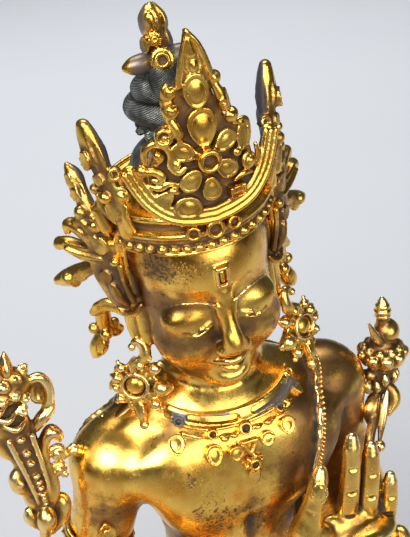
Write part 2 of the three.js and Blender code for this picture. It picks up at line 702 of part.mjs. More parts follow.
// The double lotus base: oval rings whose radius swells at each petal, hanging petals under
// rising ones, a plain foot below and pearls round the top. Each ring is
// [height, step out from the top's edge, swell of the petals, shift by half a petal, pearls].
function lotusBase() {
  const upper = BASE_HEIGHT - 6;
  const rings = [
    [0, 6, 0, 0, 0],
    [BASE_FOOT, 6, 0, 0, 0],
    [BASE_FOOT + 1, -1, 0, 0, 0],
    [BASE_FOOT + 2.5, 0, 1, 0, 0],
    [lerp(BASE_FOOT, BASE_WAIST, 0.55), -1.5, 1, 0, 0],
    [BASE_WAIST - 2.5, -8, 0.6, 0, 0],
    [BASE_WAIST, -10, 0, 0, 0],
    [BASE_WAIST + 2.5, -8, 0.6, 1, 0],
    [lerp(BASE_WAIST, upper, 0.62), -3, 1, 1, 0],
    [upper - 1, -2, 0.9, 1, 0],
    [upper, -2, 0, 1, 0],
    [BASE_HEIGHT - 3, -0.5, 0, 1, RIM_PEARL],
    [BASE_HEIGHT, -0.5, 0, 1, 0],
  ];
  const corners = 4;
  return solid(
    skin(
      rings.map(([z, step, swell, shift, pearls]) =>
        repeat(BASE_PETALS * corners, (j) => {
          const turn = (TURN * (j + (shift * corners) / 2)) / (BASE_PETALS * corners);
          const off = Math.abs(((j % corners) / corners) * 2 - 1);
          const bulge = swell * PETAL_BULGE * (1 - off ** 2);
          const out = step + bulge + pearls * (j % 2);
          const [a, b] = [BASE_HALF_WIDTH + out, BASE_HALF_DEPTH + out];
          return new THREE.Vector3(a * Math.cos(turn), b * Math.sin(turn), z);
        }),
      ),
    ),
  );
}

// A finished solid as a named mesh.
function mesh(name, made) {
  const { vertProperties, triVerts, numProp } = made.getMesh();
  const count = vertProperties.length / numProp;
  const xyz = new Float32Array(count * 3);
  for (let i = 0; i < count * 3; i++) xyz[i] = vertProperties[Math.floor(i / 3) * numProp + (i % 3)];
  const geometry = new THREE.BufferGeometry();
  geometry.setAttribute("position", new THREE.BufferAttribute(xyz, 3));
  geometry.setIndex(new THREE.BufferAttribute(new Uint32Array(triVerts), 1));
  geometry.computeVertexNormals();
  const named = new THREE.Mesh(geometry, new THREE.MeshStandardMaterial(GILT));
  named.name = name;
  return named;
}

const tara = new THREE.Group();
tara.add(mesh("figure", figure()));
tara.add(mesh("lotus_base", lotusBase()));

export default tara;
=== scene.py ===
"""The looks of a seated Tara in gilt copper alloy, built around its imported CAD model.

The forms are modelled in clay: distances on a regular grid, to which blobs, limbs, rings and
settings are added with soft joins, as a wax model is built up before casting. Sizes are in
fingers, a twelfth of the face, from the middle of the figure's seat, until a form is meshed.
The figure faces -Y. Places on the head are given before it nods and leans.
"""

import math

import bpy
import numpy as np
import openvdb
from mathutils import Matrix, Vector


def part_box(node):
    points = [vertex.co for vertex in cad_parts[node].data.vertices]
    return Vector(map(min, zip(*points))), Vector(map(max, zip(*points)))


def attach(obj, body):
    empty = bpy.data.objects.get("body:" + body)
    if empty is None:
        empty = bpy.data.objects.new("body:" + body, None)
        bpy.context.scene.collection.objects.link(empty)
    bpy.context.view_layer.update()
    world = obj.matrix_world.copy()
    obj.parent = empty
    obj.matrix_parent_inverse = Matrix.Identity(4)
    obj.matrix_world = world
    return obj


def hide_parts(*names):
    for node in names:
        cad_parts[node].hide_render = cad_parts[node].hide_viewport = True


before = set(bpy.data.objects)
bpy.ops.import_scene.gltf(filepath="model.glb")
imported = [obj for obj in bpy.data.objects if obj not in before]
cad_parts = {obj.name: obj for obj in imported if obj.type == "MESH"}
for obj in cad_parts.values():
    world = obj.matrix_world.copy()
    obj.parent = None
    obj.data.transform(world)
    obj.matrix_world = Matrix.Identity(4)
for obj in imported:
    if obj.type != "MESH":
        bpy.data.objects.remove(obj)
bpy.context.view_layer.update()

FINGER = 0.0035  # metres
FIGURE_SETBACK = 0.016  # metres, of the figure's axis behind the middle of the base
SEAT = np.array([0.0, FIGURE_SETBACK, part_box("figure")[0][2]])

# The head on its neck, as the CAD model sets it.
NECK_PIVOT = np.array([0, 0.5, 37.0])
HEAD_NOD = 0.127
HEAD_LEAN = 0.096
HEAD_TURN = -0.052
HEAD_SHIFT = np.array([0, 0.38, -1.13])

# The photograph's viewpoint: a camera that looks at a point of the figure, in fingers.
VIEW_TARGET = np.array([-0.096, 0, 44.925])
VIEW_AZIMUTH = math.radians(-20.43)
VIEW_ELEVATION = math.radians(26.715)
VIEW_ROLL = math.radians(-5.43)
VIEW_DISTANCE = 75.957
VIEW_FOCAL = 1.8965  # of the image's height

# The trunk's sections: [height, half width, front, back].
TRUNK = [
    [0, 9.6, -6.2, 6.4],
    [5, 10.2, -5.8, 6.8],
    [10, 8.4, -5.1, 5.9],
    [16, 5.8, -4.6, 4.2],
    [22, 5.7, -4.7, 4.2],
    [25, 6.4, -4.9, 4.5],
    [28, 7.8, -5.0, 4.8],
    [32, 9.0, -4.6, 4.6],
    [34.2, 7.8, -3.7, 4.2],
    [35.6, 5.4, -2.9, 3.8],
    [37.0, 3.3, -2.3, 3.5],
]

FAR = 2.0  # the clay's distance where nothing has been added
REACH = 0.5  # how far round a form its distance is worked out


def unit(v):
    v = np.asarray(v, float)
    return v / np.linalg.norm(v)


def around(axis, angle):
    """A rotation matrix about an axis."""
    x, y, z = unit(axis)
    c, s = math.cos(angle), math.sin(angle)
    cross = np.array([[0, -z, y], [z, 0, -x], [-y, x, 0]])
    return c * np.eye(3) + s * cross + (1 - c) * np.outer([x, y, z], [x, y, z])


HEAD_TILT = around((0, 0, 1), HEAD_TURN) @ around((0, 1, 0), -HEAD_LEAN) @ around((1, 0, 0), HEAD_NOD)


def on_neck(points):
    """Places on the upright head, moved to where it nods and leans."""
    return NECK_PIVOT + HEAD_SHIFT + (np.asarray(points) - NECK_PIVOT) @ HEAD_TILT.T


def facing_axes(facing, up=(0, 0, 1)):
    """Right, up and out for something that faces a direction."""
    out = unit(facing)
    across = unit(np.cross(up, out))
    return np.array([across, np.cross(out, across), out])


def smooth(points, steps):
    """Points along a Catmull-Rom curve through the given rows, which may hold sizes too."""
    rows = np.asarray(points, float)
    rows = np.vstack([2 * rows[0] - rows[1], rows, 2 * rows[-1] - rows[-2]])
    made = []
    for a, b, c, d in zip(rows, rows[1:], rows[2:], rows[3:]):
        for t in np.arange(steps) / steps:
            bend = (2 * a - 5 * b + 4 * c - d) * t * t + (3 * b - a - 3 * c + d) * t ** 3
            made.append(b + 0.5 * ((c - a) * t + bend))
    return np.array(made + [rows[-2]])


def smooth_min(a, b, blend):
    h = np.maximum(blend - np.abs(a - b), 0) / blend
    return np.minimum(a, b) - h * h * blend / 4


class Clay:
    """Distances to a form, on a grid with one value every pitch."""

    def __init__(self, low, high, pitch):
        self.low = np.array(low, float)
        self.pitch = pitch
        size = [int(round((h - l) / pitch)) + 1 for l, h in zip(low, high)]
        self.value = np.full(size, FAR, np.float32)
        self.cups = []

    def window(self, low, high, margin):
        """The part of the grid round a box, and its coordinates, or None outside the grid."""
        first = [int((l - margin - o) / self.pitch) for l, o in zip(low, self.low)]
        last = [int((h + margin - o) / self.pitch) + 2 for h, o in zip(high, self.low)]
        first = [max(f, 0) for f in first]
        last = [min(l, n) for l, n in zip(last, self.value.shape)]
        if any(f >= l for f, l in zip(first, last)):
            return None, None
        x, y, z = [
            (self.low[i] + self.pitch * np.arange(first[i], last[i])).astype(np.float32)
            for i in range(3)
        ]
        part = tuple(slice(f, l) for f, l in zip(first, last))
        return part, (x[:, None, None], y[None, :, None], z[None, None, :])

    def apply(self, low, high, distance, blend, cut=False):
        """Adds a form, or cuts it away, softened by blend where it meets what is there."""
        part, place = self.window(low, high, max(blend, REACH))
        if part is None:
            return
        here = self.value[part]
        if cut:
            self.value[part] = -smooth_min(-here, distance(*place), blend)
        else:
            self.value[part] = smooth_min(here, distance(*place), blend)

    def blob(self, centre, radii, blend=0.15, axes=None, cut=False):
        """An ellipsoid. Its radii run along the rows of axes."""
        radii = np.broadcast_to(np.asarray(radii, float), 3)
        axes = np.eye(3) if axes is None else axes
        reach = np.sqrt(((axes * radii[:, None]) ** 2).sum(0))

        def distance(x, y, z):
            offset = (x - centre[0], y - centre[1], z - centre[2])
            parts = [sum(a * o for a, o in zip(axis, offset)) for axis in axes]
            near = np.sqrt(sum((p / r) ** 2 for p, r in zip(parts, radii)))
            steep = np.sqrt(sum((p / r ** 2) ** 2 for p, r in zip(parts, radii))) + 1e-6
            return near * (near - 1) / steep

        self.apply(centre - reach, centre + reach, distance, blend, cut)

    def limb(self, points, sizes, blend=0.15, wide=None, steps=6, cut=False):
        """A round or oval rod along a curve. Each size is a radius, or a half width and a half
        thickness with the width kept along wide."""
        sizes = np.array([np.broadcast_to(np.asarray(s, float), 2) for s in sizes])
        points = np.asarray(points, float)
        if len(sizes) != len(points):
            share = np.linspace(0, len(sizes) - 1, len(points))
            at = np.arange(len(sizes))
            sizes = np.stack([np.interp(share, at, sizes[:, k]) for k in (0, 1)], 1)
        rows = smooth(np.hstack([points, sizes]), steps) if steps > 1 else np.hstack([points, sizes])
        rows[:, 3:] = np.maximum(rows[:, 3:], 0.02)
        centres, sizes = rows[:, :3], rows[:, 3:]
        most = sizes.max()
        low, high = centres.min(0) - most, centres.max(0) + most
        part, place = self.window(low, high, max(blend, REACH))
        if part is None:
            return
        made = np.full(self.value[part].shape, FAR, np.float32)
        origin = [s.start for s in part]
        for a, b, ra, rb in zip(centres, centres[1:], sizes, sizes[1:]):
            most = max(ra.max(), rb.max())
            box = (np.minimum(a, b) - most, np.maximum(a, b) + most)
            inner, near_place = self.window(*box, max(blend, REACH))
            if inner is None:
                continue
            x, y, z = near_place
            run = b - a
            length = max(float(run @ run), 1e-9)
            offset = (x - a[0], y - a[1], z - a[2])
            t = np.clip(sum(o * r for o, r in zip(offset, run)) / length, 0, 1)
            rest = [o - t * r for o, r in zip(offset, run)]
            if wide is None:
                gap = np.sqrt(sum(r * r for r in rest)) - (ra[0] + t * (rb[0] - ra[0]))
            else:
                tangent = run / math.sqrt(length)
                across = unit(np.asarray(wide, float) - (np.asarray(wide) @ tangent) * tangent)
                thin = np.cross(tangent, across)
                width, thick = [ra[k] + t * (rb[k] - ra[k]) for k in (0, 1)]
                u, v, w = [sum(c * r for c, r in zip(axis, rest)) for axis in (across, thin, tangent)]
                end = np.minimum(width, thick)
                near = np.sqrt((u / width) ** 2 + (v / thick) ** 2 + (w / end) ** 2)
                steep = np.sqrt((u / width ** 2) ** 2 + (v / thick ** 2) ** 2 + (w / end ** 2) ** 2)
                gap = near * (near - 1) / (steep + 1e-6)
            spot = tuple(slice(s.start - o, s.stop - o) for s, o in zip(inner, origin))
            made[spot] = np.minimum(made[spot], gap)
        here = self.value[part]
        self.value[part] = -smooth_min(-here, made, blend) if cut else smooth_min(here, made, blend)

    def oval(self, centre, facing, half_width, half_height, form, blend, up, point=0.0, cut=False):
        """A form over an oval that faces a direction. form gets how far a place is from the
        oval's edge along its face, the share of the way out to it, and the height above it.
        With point above 0 the oval narrows towards its top."""
        axes = facing_axes(facing, up)
        reach = max(half_width, half_height) * 1.35 + 0.3

        def distance(x, y, z):
            offset = (x - centre[0], y - centre[1], z - centre[2])
            u, v, n = [sum(a * o for a, o in zip(axis, offset)) for axis in axes]
            width = half_width * np.clip(1 - point * v / half_height, 0.25, 1.6)
            share = np.sqrt((u / width) ** 2 + (v / half_height) ** 2) + 1e-6
            steep = np.sqrt((u / width ** 2) ** 2 + (v / half_height ** 2) ** 2) + 1e-6
            return form(share * (share - 1) / steep, share, n)

        centre = np.asarray(centre, float)
        self.apply(centre - reach, centre + reach, distance, blend, cut)

    def ring(self, centre, facing, radius, thick, blend=0.1, height=None, up=(0, 0, 1), point=0.0):
        def form(off, _, n):
            return np.sqrt(off * off + n * n) - thick

        self.oval(centre, facing, radius, height or radius, form, blend, up, point)

    def setting(self, centre, facing, radius, height=0.4, hollow=0.62, blend=0.1, up=(0, 0, 1)):
        """A stone's empty setting: a short round wall with a rounded lip."""
        centre = np.asarray(centre, float)
        inner = radius * hollow
        lip = (radius - inner) / 2
        middle = (radius + inner) / 2

        def wall(off, _, n):
            return np.maximum(off, np.abs(n) - height) - 0.03

        def well(off, _, n):
            return np.maximum(off, -n - height * 0.35)

        self.oval(centre, facing, radius - 0.03, radius - 0.03, wall, blend, up)
        self.ring(centre + unit(facing) * height, facing, middle, lip, 0.08, up=up)
        self.oval(centre + unit(facing) * 0.2, facing, inner, inner, well, 0.04, up, cut=True)
        self.cups.append((centre - unit(facing) * height * 0.2, inner))

    def cabochon(self, centre, facing, half_width, half_height, up=(0, 0, 1), point=0.0, blend=0.1):
        """A smooth boss inside a raised rim, pointed at its top if asked."""
        rim = 0.06 * min(half_width, half_height) + 0.055
        centre = np.asarray(centre, float)

        def base(off, _, n):
            return np.maximum(off, np.abs(n + 0.15) - 0.25) - 0.04

        def dome(off, share, n):
            height = 0.38 * min(half_width, half_height)
            round_top = np.sqrt(np.clip(share, 0, None) ** 2 + (np.maximum(n, 0) / height) ** 2) - 1
            return np.maximum(round_top * height * 0.7, -n - 0.4)

        self.oval(centre, facing, half_width, half_height, base, blend, up, point)
        self.ring(centre + unit(facing) * 0.12, facing, half_width, rim, 0.05, half_height, up, point)
        self.oval(centre, facing, half_width * 0.82, half_height * 0.85, dome, 0.03, up, point)

    def surface(self, points, direction):
        """Points moved along a direction to where they meet the clay."""
        at = np.array(points, float)
        step = np.asarray(direction, float) / np.linalg.norm(direction)
        for _ in range(60):
            gap = self.sample(at)
            at = at + step * np.clip(gap, -0.5, 0.5)[:, None] * 0.8
        return at

    def sample(self, points, field=None):
        """The field's value at each point."""
        field = self.value if field is None else field
        place = (np.asarray(points) - self.low) / self.pitch
        top = np.array(field.shape) - 2
        cell = np.clip(np.floor(place).astype(int), 0, top)
        share = np.clip(place - cell, 0, 1)
        total = np.zeros(len(place))
        for i in (0, 1):
            for j in (0, 1):
                for k in (0, 1):
                    weight = (
                        (share[:, 0] if i else 1 - share[:, 0])
                        * (share[:, 1] if j else 1 - share[:, 1])
                        * (share[:, 2] if k else 1 - share[:, 2])
                    )
                    total += weight * field[cell[:, 0] + i, cell[:, 1] + j, cell[:, 2] + k]
        return total

    def slope(self, points):
        """The direction out of the clay at each point."""
        h = self.pitch * 0.6
        steps = np.eye(3) * h
        out = np.stack([self.sample(points + s) - self.sample(points - s) for s in steps], 1)
        return out / (np.linalg.norm(out, axis=1, keepdims=True) + 1e-9)

    def blurred(self, radius):
        """The distances, held to a narrow band and averaged over a cube three times."""
        field = np.clip(self.value, -0.7, 0.7)
        n = max(int(round(radius / self.pitch)), 1)
        for axis in (0, 1, 2):
            for _ in (0, 1):
                padded = np.concatenate(
                    [np.take(field, [0] * (n + 1), axis), field, np.take(field, [-1] * n, axis)], axis
                )
                total = np.cumsum(padded, axis, dtype=np.float32)
                size = field.shape[axis]
                ahead = np.take(total, np.arange(2 * n + 1, 2 * n + 1 + size), axis)
                behind = np.take(total, np.arange(size), axis)
                field = (ahead - behind) / (2 * n + 1)
        return field

    def meshed(self, rounds=2):
        """Corner points, four-cornered faces, and how hollow the surface is at each point, close
        to and further round."""
        grid = openvdb.FloatGrid(FAR)
        grid.copyFromArray(self.value)
        points, quads = grid.convertToQuads(0.0)
        points = points.astype(float) * self.pitch + self.low
        quads = quads.astype(int)
        ends = np.vstack([quads[:, [i, (i + 1) % 4]] for i in range(4)])
        ends = np.vstack([ends, ends[:, ::-1]])
        count = np.bincount(ends[:, 0], minlength=len(points))[:, None]
        for _ in range(rounds):
            mean = np.stack(
                [np.bincount(ends[:, 0], points[ends[:, 1], k], len(points)) for k in range(3)], 1
            )
            points = points + 0.5 * (mean / np.maximum(count, 1) - points)
            points = points - self.slope(points) * self.sample(points)[:, None] * 0.9
        a, b, c = points[quads[:, 0]], points[quads[:, 1]], points[quads[:, 2]]
        if np.einsum("ij,ij->", a, np.cross(b, c)) < 0:
            quads = quads[:, ::-1]
        near = np.clip(-self.sample(points, self.blurred(0.22)) / 0.12, -1, 1)
        broad = np.clip(-self.sample(points, self.blurred(0.6)) / 0.35, -1, 1)
        return points, quads, near, broad


# The body: trunk, arms and legs in one block of clay.
def trunk_size(z):
    """Half width, front and back of the trunk at a height."""
    heights = [s[0] for s in TRUNK]
    return [np.interp(z, heights, [s[k] for s in TRUNK]) for k in (1, 2, 3)]


def model_trunk(clay):
    def loft(x, y, z):
        width, front, back = trunk_size(z)
        width, front, back = [v.astype(np.float32) for v in (width, front, back)]
        depth = (back - front) / 2
        off = y - (front + back) / 2
        near = np.sqrt((x / width) ** 2 + (off / depth) ** 2)
        steep = np.sqrt((x / width ** 2) ** 2 + (off / depth ** 2) ** 2) + 1e-6
        lean = np.interp(z, [28, 36], [1.0, 0.62])
        return np.maximum(near * (near - 1) / steep * lean, z - 36.8)

    clay.apply((-10.4, -6.4, -0.5), (10.4, 7, 37), loft, 0.3)
    clay.limb([[0, 0.9, 33], [-0.1, 0.5, 37.0], [-0.2, 0.2, 40.0]], [3.6, 3.5, 3.45], 1.6)
    clay.limb([[-10.3, 0.3, 31.2], [-8.4, 0.6, 32.7], [-5.2, 0.8, 33.9], [0, 0.9, 35.0]], [1.5, 1.7, 1.7, 1.8], 1.8)
    clay.limb([[9.6, 0.2, 32.2], [5.2, 0.7, 34.0], [0, 0.9, 35.0]], [1.9, 1.7, 1.8], 1.8)
    drape = [[8.2, 0.5, 31.2], [8.1, 0.2, 27.5], [7.9, 0.2, 24], [7.9, 0.4, 19.5], [8.0, 0.5, 16.5]]
    clay.limb(drape, [[2.3, 2.4], [2.6, 2.0], [2.9, 1.8], [2.9, 1.6], [1.6, 1.2]], 1.2, wide=[1, 0, 0])
    for side in (-1, 1):
        clay.blob([side * 3.7, -2.9, 27.4], (3.3, 2.4, 3.4), 1.6)
        clay.blob([side * 4.6, -3.2, 30.4], (4.0, 1.5, 2.6), 2.2)
        clay.blob([side * 1.6, 3.6, 27], (2.6, 1.2, 5.5), 2.0)
    clay.limb([[0, -4.9, 24.5], [0, -4.9, 14], [0, -5.4, 11.5]], [0.25, 0.3, 0.2], 0.9, cut=True)
    clay.blob([0, -5.0, 14.4], (0.5, 0.7, 0.45), 0.3, cut=True)
    clay.limb([[0, 4.6, 31], [0, 4.6, 20], [0, 5.6, 14]], [0.3, 0.5, 0.3], 1.2, cut=True)
    for low, radius in ((37.6, 3.62), (36.5, 3.72)):
        turns = np.radians(np.arange(-80, 81, 10))
        fold = [[radius * math.sin(a) - 0.1, 0.45 - radius * math.cos(a), low + 0.4 * math.sin(a) ** 2] for a in turns]
        clay.limb(fold, [0.03, 0.07, 0.03], 0.3, steps=1, cut=True)


SHOULDERS = np.array([[-9.45, 0.1, 30.6], [9.3, -0.1, 32.1]])


def model_right_arm(clay):
    shoulder = SHOULDERS[0]
    clay.blob(shoulder, (2.55, 2.7, 2.6), 2.2)
    clay.limb(
        [shoulder, [-10.5, 0.2, 26], [-11.8, 0.7, 21.5], [-14.2, -2.4, 16.2], [-15.2, -8.8, 11.6]],
        [2.5, 2.6, 2.4, 2.0, 1.25],
        1.6,
    )


def model_left_arm(clay):
    shoulder = SHOULDERS[1]
    clay.blob(shoulder, (2.7, 2.8, 2.7), 1.6)
    clay.limb(
        [shoulder, [10.45, 0.4, 26], [12.4, 1.0, 20.2], [12.0, -3.0, 18.6], [9.9, -6.2, 19.6]],
        [2.55, 2.4, 2.3, 1.85, 1.3],
        1.0,
    )


def model_legs(clay):
    for side in (1, -1):
        knee = [side * 18.6, -5.6, 4.4]
        if side < 0:
            shin = [knee, [-11, -10.0, 4.8], [-3, -10.8, 5.8], [4.2, -9.4, 7.2]]
        else:
            shin = [knee, [11, -10.8, 3.9], [2.5, -12.2, 3.4], [-3.5, -11.4, 4.2]]
        clay.limb([[side * 4, 2, 4.8], [side * 11, -1.6, 5.2], knee], [4.8, 4.7, 3.85], 1.0)
        clay.blob(knee, (3.95, 3.95, 3.85), 0.8)
        clay.limb(shin, [3.5, 3.0, 2.4, 1.7], 0.45)
        for i in range(5):
            x = side * (8.5 + i * 2.5)
            y, z, r = -1.0 - i * 0.75, 5.2 - i * 0.1, 4.9 - i * 0.15
            turns = np.linspace(0.1, 2.1, 6)
            ring = [[x + side * 0.4 * a, y - r * math.cos(a), z + r * math.sin(a)] for a in turns]
            clay.limb(ring, [0.1, 0.32, 0.36, 0.3, 0.1], 0.5)


def model_foot(clay, heel, toes, side):
    """An upturned sole with its toes."""
    heel, toes = np.array(heel, float), np.array(toes, float)
    across = unit(np.cross(toes - heel, (0, -0.4, 1)))
    up = unit(np.cross(across, toes - heel)) * np.sign(np.cross(across, toes - heel)[2])
    at = lambda share, aside=0.0, lift=0.0: heel + (toes - heel) * share + across * aside + up * lift
    clay.limb(
        [at(-0.06), at(0.3), at(0.68), at(0.84)],
        [[1.25, 1.05], [1.2, 0.9], [1.65, 0.8], [1.6, 0.5]],
        0.4,
        wide=across,
    )
    clay.blob(at(-0.02, 0, 0.1), 1.2, 0.5)
    clay.blob(at(0.72, -0.7 * side, 0.35), (1.1, 0.8, 0.55), 0.5)
    lengths = [0.2, 0.16, 0.14, 0.12, 0.1]
    radii = [0.5, 0.36, 0.34, 0.32, 0.3]
    for i in range(5):
        aside = side * (-1.25 + i * 0.66)
        reach = 0.9 - 0.035 * i
        clay.limb([at(reach - 0.08, aside), at(reach + lengths[i] * 0.5, aside, 0.1)], [radii[i]] * 2, 0.12)
        clay.blob(at(reach + lengths[i] * 0.55, aside, 0.2), radii[i] * 1.08, 0.08)


def model_hem(clay):
    """The skirt's pleats, spread as a fan before the legs."""
    centre = np.array([0, -10.2, 0.4])
    for i in range(13):
        turn = math.pi * (0.04 + 0.92 * i / 12)
        tip = centre + [-6.3 * math.cos(turn), -4.9 * math.sin(turn), 0.35 + 0.25 * (i % 2)]
        start = centre + [-1.2 * math.cos(turn), -0.8 * math.sin(turn), 1.1]
        clay.limb([start, (start + tip) / 2, tip], [0.35, 0.65, 0.62], 0.25)
    edge = [
        centre + [-6.6 * math.cos(t), -5.15 * math.sin(t), 0.2 + 0.14 * math.cos(t * 24)]
        for t in np.linspace(0.1, math.pi - 0.1, 33)
    ]
    clay.limb(edge, [0.26] * 2, 0.12, steps=1)


# Where the shawl's front edge runs, down her left shoulder and breast.
SHAWL_EDGE = np.array([
    [7.8, 0.2, 36.0], [7.7, -2.7, 34.9], [6.6, -4.6, 32.6], [5.8, -5.3, 29.6],
    [5.35, -5.4, 27.0], [5.6, -5.2, 24.0], [6.9, -3.8, 19.5],
])


def shawl_share(x, y, z):
    """How far inside the shawl's edges a place lies: above 0 where the cloth covers it."""
    heights = SHAWL_EDGE[::-1, 2]
    front = x - np.interp(z, heights, SHAWL_EDGE[::-1, 0])
    back_edge = 1.6 + 0.12 * np.abs(x)
    behind = np.minimum(y - back_edge, np.minimum(z - 20.5 - 0.18 * np.abs(x), 35.7 - z + 0 * x))
    over = np.minimum(front, z - 17.5)
    return np.maximum(np.where(y < 1.4, over, np.maximum(over, behind)), behind)


def model_shawl(clay):
    """Cloth over the left shoulder and across the back, as a thickness added to the body."""
    part, (x, y, z) = clay.window((-14.5, -7.5, 17), (16.5, 7.5, 37.5), 0)
    body = clay.value[part]
    angle = np.arctan2(x - 3.0, -(y - 1.5))
    fold = np.sin(angle * 9.0 + z * 0.10) * 0.6 + np.sin(angle * 15.0 - z * 0.16 + 1.0) * 0.4
    low = np.clip((36.5 - z) / 7.0, 0.12, 1.0)
    thick = 0.34 + 0.24 * low * fold
    share = shawl_share(x, y, z).astype(np.float32)
    cloth = np.maximum(body - thick.astype(np.float32), -share)
    clay.value[part] = smooth_min(body, cloth, 0.12)


def model_body():
    clay = Clay((-23, -17, -0.6), (23, 8.2, 41.4), 0.265)
    model_legs(clay)
    model_trunk(clay)
    model_right_arm(clay)
    model_left_arm(clay)
    model_shawl(clay)
    model_foot(clay, [3.4, -9.6, 7.4], [11.4, -6.4, 9.4], 1)
    model_foot(clay, [-3.2, -7.0, 7.6], [-11.0, -5.4, 9.2], -1)
    model_hem(clay)
    floor = clay.window((-23, -17, -0.6), (23, 8.2, 0.4), 0)
    clay.value[floor[0]] = np.maximum(clay.value[floor[0]], 0.02 - floor[1][2])
    return clay


# The hands.
def model_finger(clay, joints, radius, facing):
    """A finger with deep creases between its segments, from knuckle to tip."""
    spine = smooth(np.asarray(joints, float), 8)
    sizes = np.interp(np.linspace(0, 1, len(spine)), [0, 0.5, 0.88, 1], [1, 0.92, 0.8, 0.56]) * radius
    facing = unit(facing)
    across = unit(np.cross(spine[-1] - spine[0], facing))
    clay.limb(spine, [[s, s * 0.9] for s in sizes], 0.2, wide=across, steps=1)
    for share in (0.03, 0.35, 0.67):
        at = int(share * (len(spine) - 1))
        here = spine[at] + facing * radius * 0.84
        clay.limb([here - across * radius, here, here + across * radius], [0.12, 0.18, 0.12], 0.04, cut=True)


RAISED_FACING = (-0.15, -1, 0.12)


def model_raised_hand():
    """An open palm to the front, the little finger bent to the stalk."""
    clay = Clay((1.8, -10.2, 16.6), (13.6, -3.6, 32.8), 0.13)
    wide = [1, 0.2, -0.25]
    clay.limb([[9.9, -6.2, 19.0], [9.5, -6.5, 20.4]], [1.35, 1.5], 0.5, steps=1)
    clay.limb(
        [[9.0, -6.5, 19.4], [8.7, -6.9, 21.4], [8.45, -7.1, 23.4]],
        [[2.6, 1.2], [3.1, 1.15], [2.7, 0.75]],
        0.5,
        wide=wide,
    )
    clay.blob([8.6, -7.6, 21.9], (2.9, 1.0, 2.1), 0.9, axes=facing_axes((0.05, -1, 0.25)))
    clay.blob([5.9, -7.1, 21.6], (1.7, 0.9, 2.6), 0.5)
    clay.blob([10.6, -7.5, 20.4], (1.2, 0.8, 1.5), 0.5)
    facing = (-0.15, -1, 0.14)
    clay.limb([[8.3, -6.6, 23.2], [8.5, -6.7, 25.6], [8.7, -6.7, 27.4]], [[0.8, 0.22], [0.6, 0.2], [0.3, 0.16]], 0.15, wide=[1, 0, 0])
    clay.limb([[10.0, -6.5, 21.6], [10.2, -6.7, 23.8], [10.4, -6.7, 25.2]], [[0.7, 0.22], [0.5, 0.2], [0.25, 0.16]], 0.15, wide=[1, 0, 0])
    model_finger(clay, [[7.45, -7.05, 23.9], [7.75, -7.2, 27.6], [8.06, -7.0, 31.0]], 0.88, facing)
    model_finger(clay, [[9.25, -7.05, 22.8], [9.52, -7.15, 26.4], [9.75, -7.0, 29.6]], 0.88, facing)
    model_finger(clay, [[11.05, -6.9, 20.9], [11.32, -7.1, 23.6], [11.5, -7.0, 26.0]], 0.8, facing)
    clay.limb([[11.3, -6.7, 19.4], [12.1, -7.6, 20.3], [11.9, -8.7, 19.6], [11.2, -8.9, 18.6]], [0.7, 0.6, 0.56, 0.45], 0.2)
    thumb = [[6.6, -6.9, 19.2], [4.4, -7.0, 20.9], [3.65, -7.2, 23.2], [3.95, -7.4, 25.2], [4.4, -7.5, 26.8], [4.8, -7.45, 28.4], [5.05, -7.35, 29.2]]
    clay.limb(thumb, [1.3, 1.7, 1.45, 1.0, 0.84, 0.76, 0.5], 0.3)
    clay.blob([4.3, -7.8, 22.6], (1.5, 0.9, 1.9), 0.3)
    nail_up = (0.1, -0.1, 1)
    nail_facing = (-0.3, -1, 0.15)
    clay.oval([4.5, -8.16, 27.75], nail_facing, 0.42, 0.62, lambda off, _, n: np.maximum(off, np.abs(n) - 0.16), 0.05, nail_up)
    clay.ring([4.5, -8.2, 27.75], nail_facing, 0.6, 0.09, 0.05, 0.85, nail_up)
    for z in (26.5, 26.05):
        clay.limb([[3.4, -8.0, z + 0.2], [4.2, -8.5, z - 0.1], [5.1, -8.0, z - 0.35]], [0.07, 0.13, 0.07], 0.05, cut=True)
    clay.limb([[6.5, -8.2, 25.2], [5.9, -8.5, 23.6], [5.7, -8.6, 22.2], [6.0, -8.5, 20.4]], [0.3, 0.42, 0.36, 0.2], 0.15, cut=True)
    return clay


def model_open_hand():
    """The right hand, open on the knee, its palm turned forward."""
    clay = Clay((-19.4, -16.0, 1.6), (-11.2, -7.6, 13.6), 0.14)
    clay.limb([[-15.1, -8.0, 12.3], [-15.3, -9.6, 11.0]], [1.3, 1.3], 0.4, steps=1)
    clay.limb(
        [[-15.2, -8.9, 11.3], [-15.5, -11.2, 9.8], [-15.6, -12.7, 7.9]],
        [[1.35, 1.1], [2.2, 0.95], [2.25, 0.75]],
        0.4,
        wide=[1, 0, 0],
    )
    clay.blob([-14.2, -11.6, 9.8], (1.0, 0.9, 1.5), 0.5)
    lengths = [1.9, 2.4, 2.5, 2.1]
    for i, reach in enumerate(lengths):
        x = -17.2 + i * 1.12
        y = -12.2 - reach
        model_finger(clay, [[x, -12.2, 8.6], [x, -12.2 - reach * 0.75, 6.2], [x, y, 3.5]], 0.56, (0, -1, 0.2))
    thumb = [[-14, -10.6, 10.2], [-12.8, -12.2, 9.0], [-12.6, -13.9, 7.0]]
    clay.limb(thumb, [0.85, 0.75, 0.5], 0.3)
    return clay


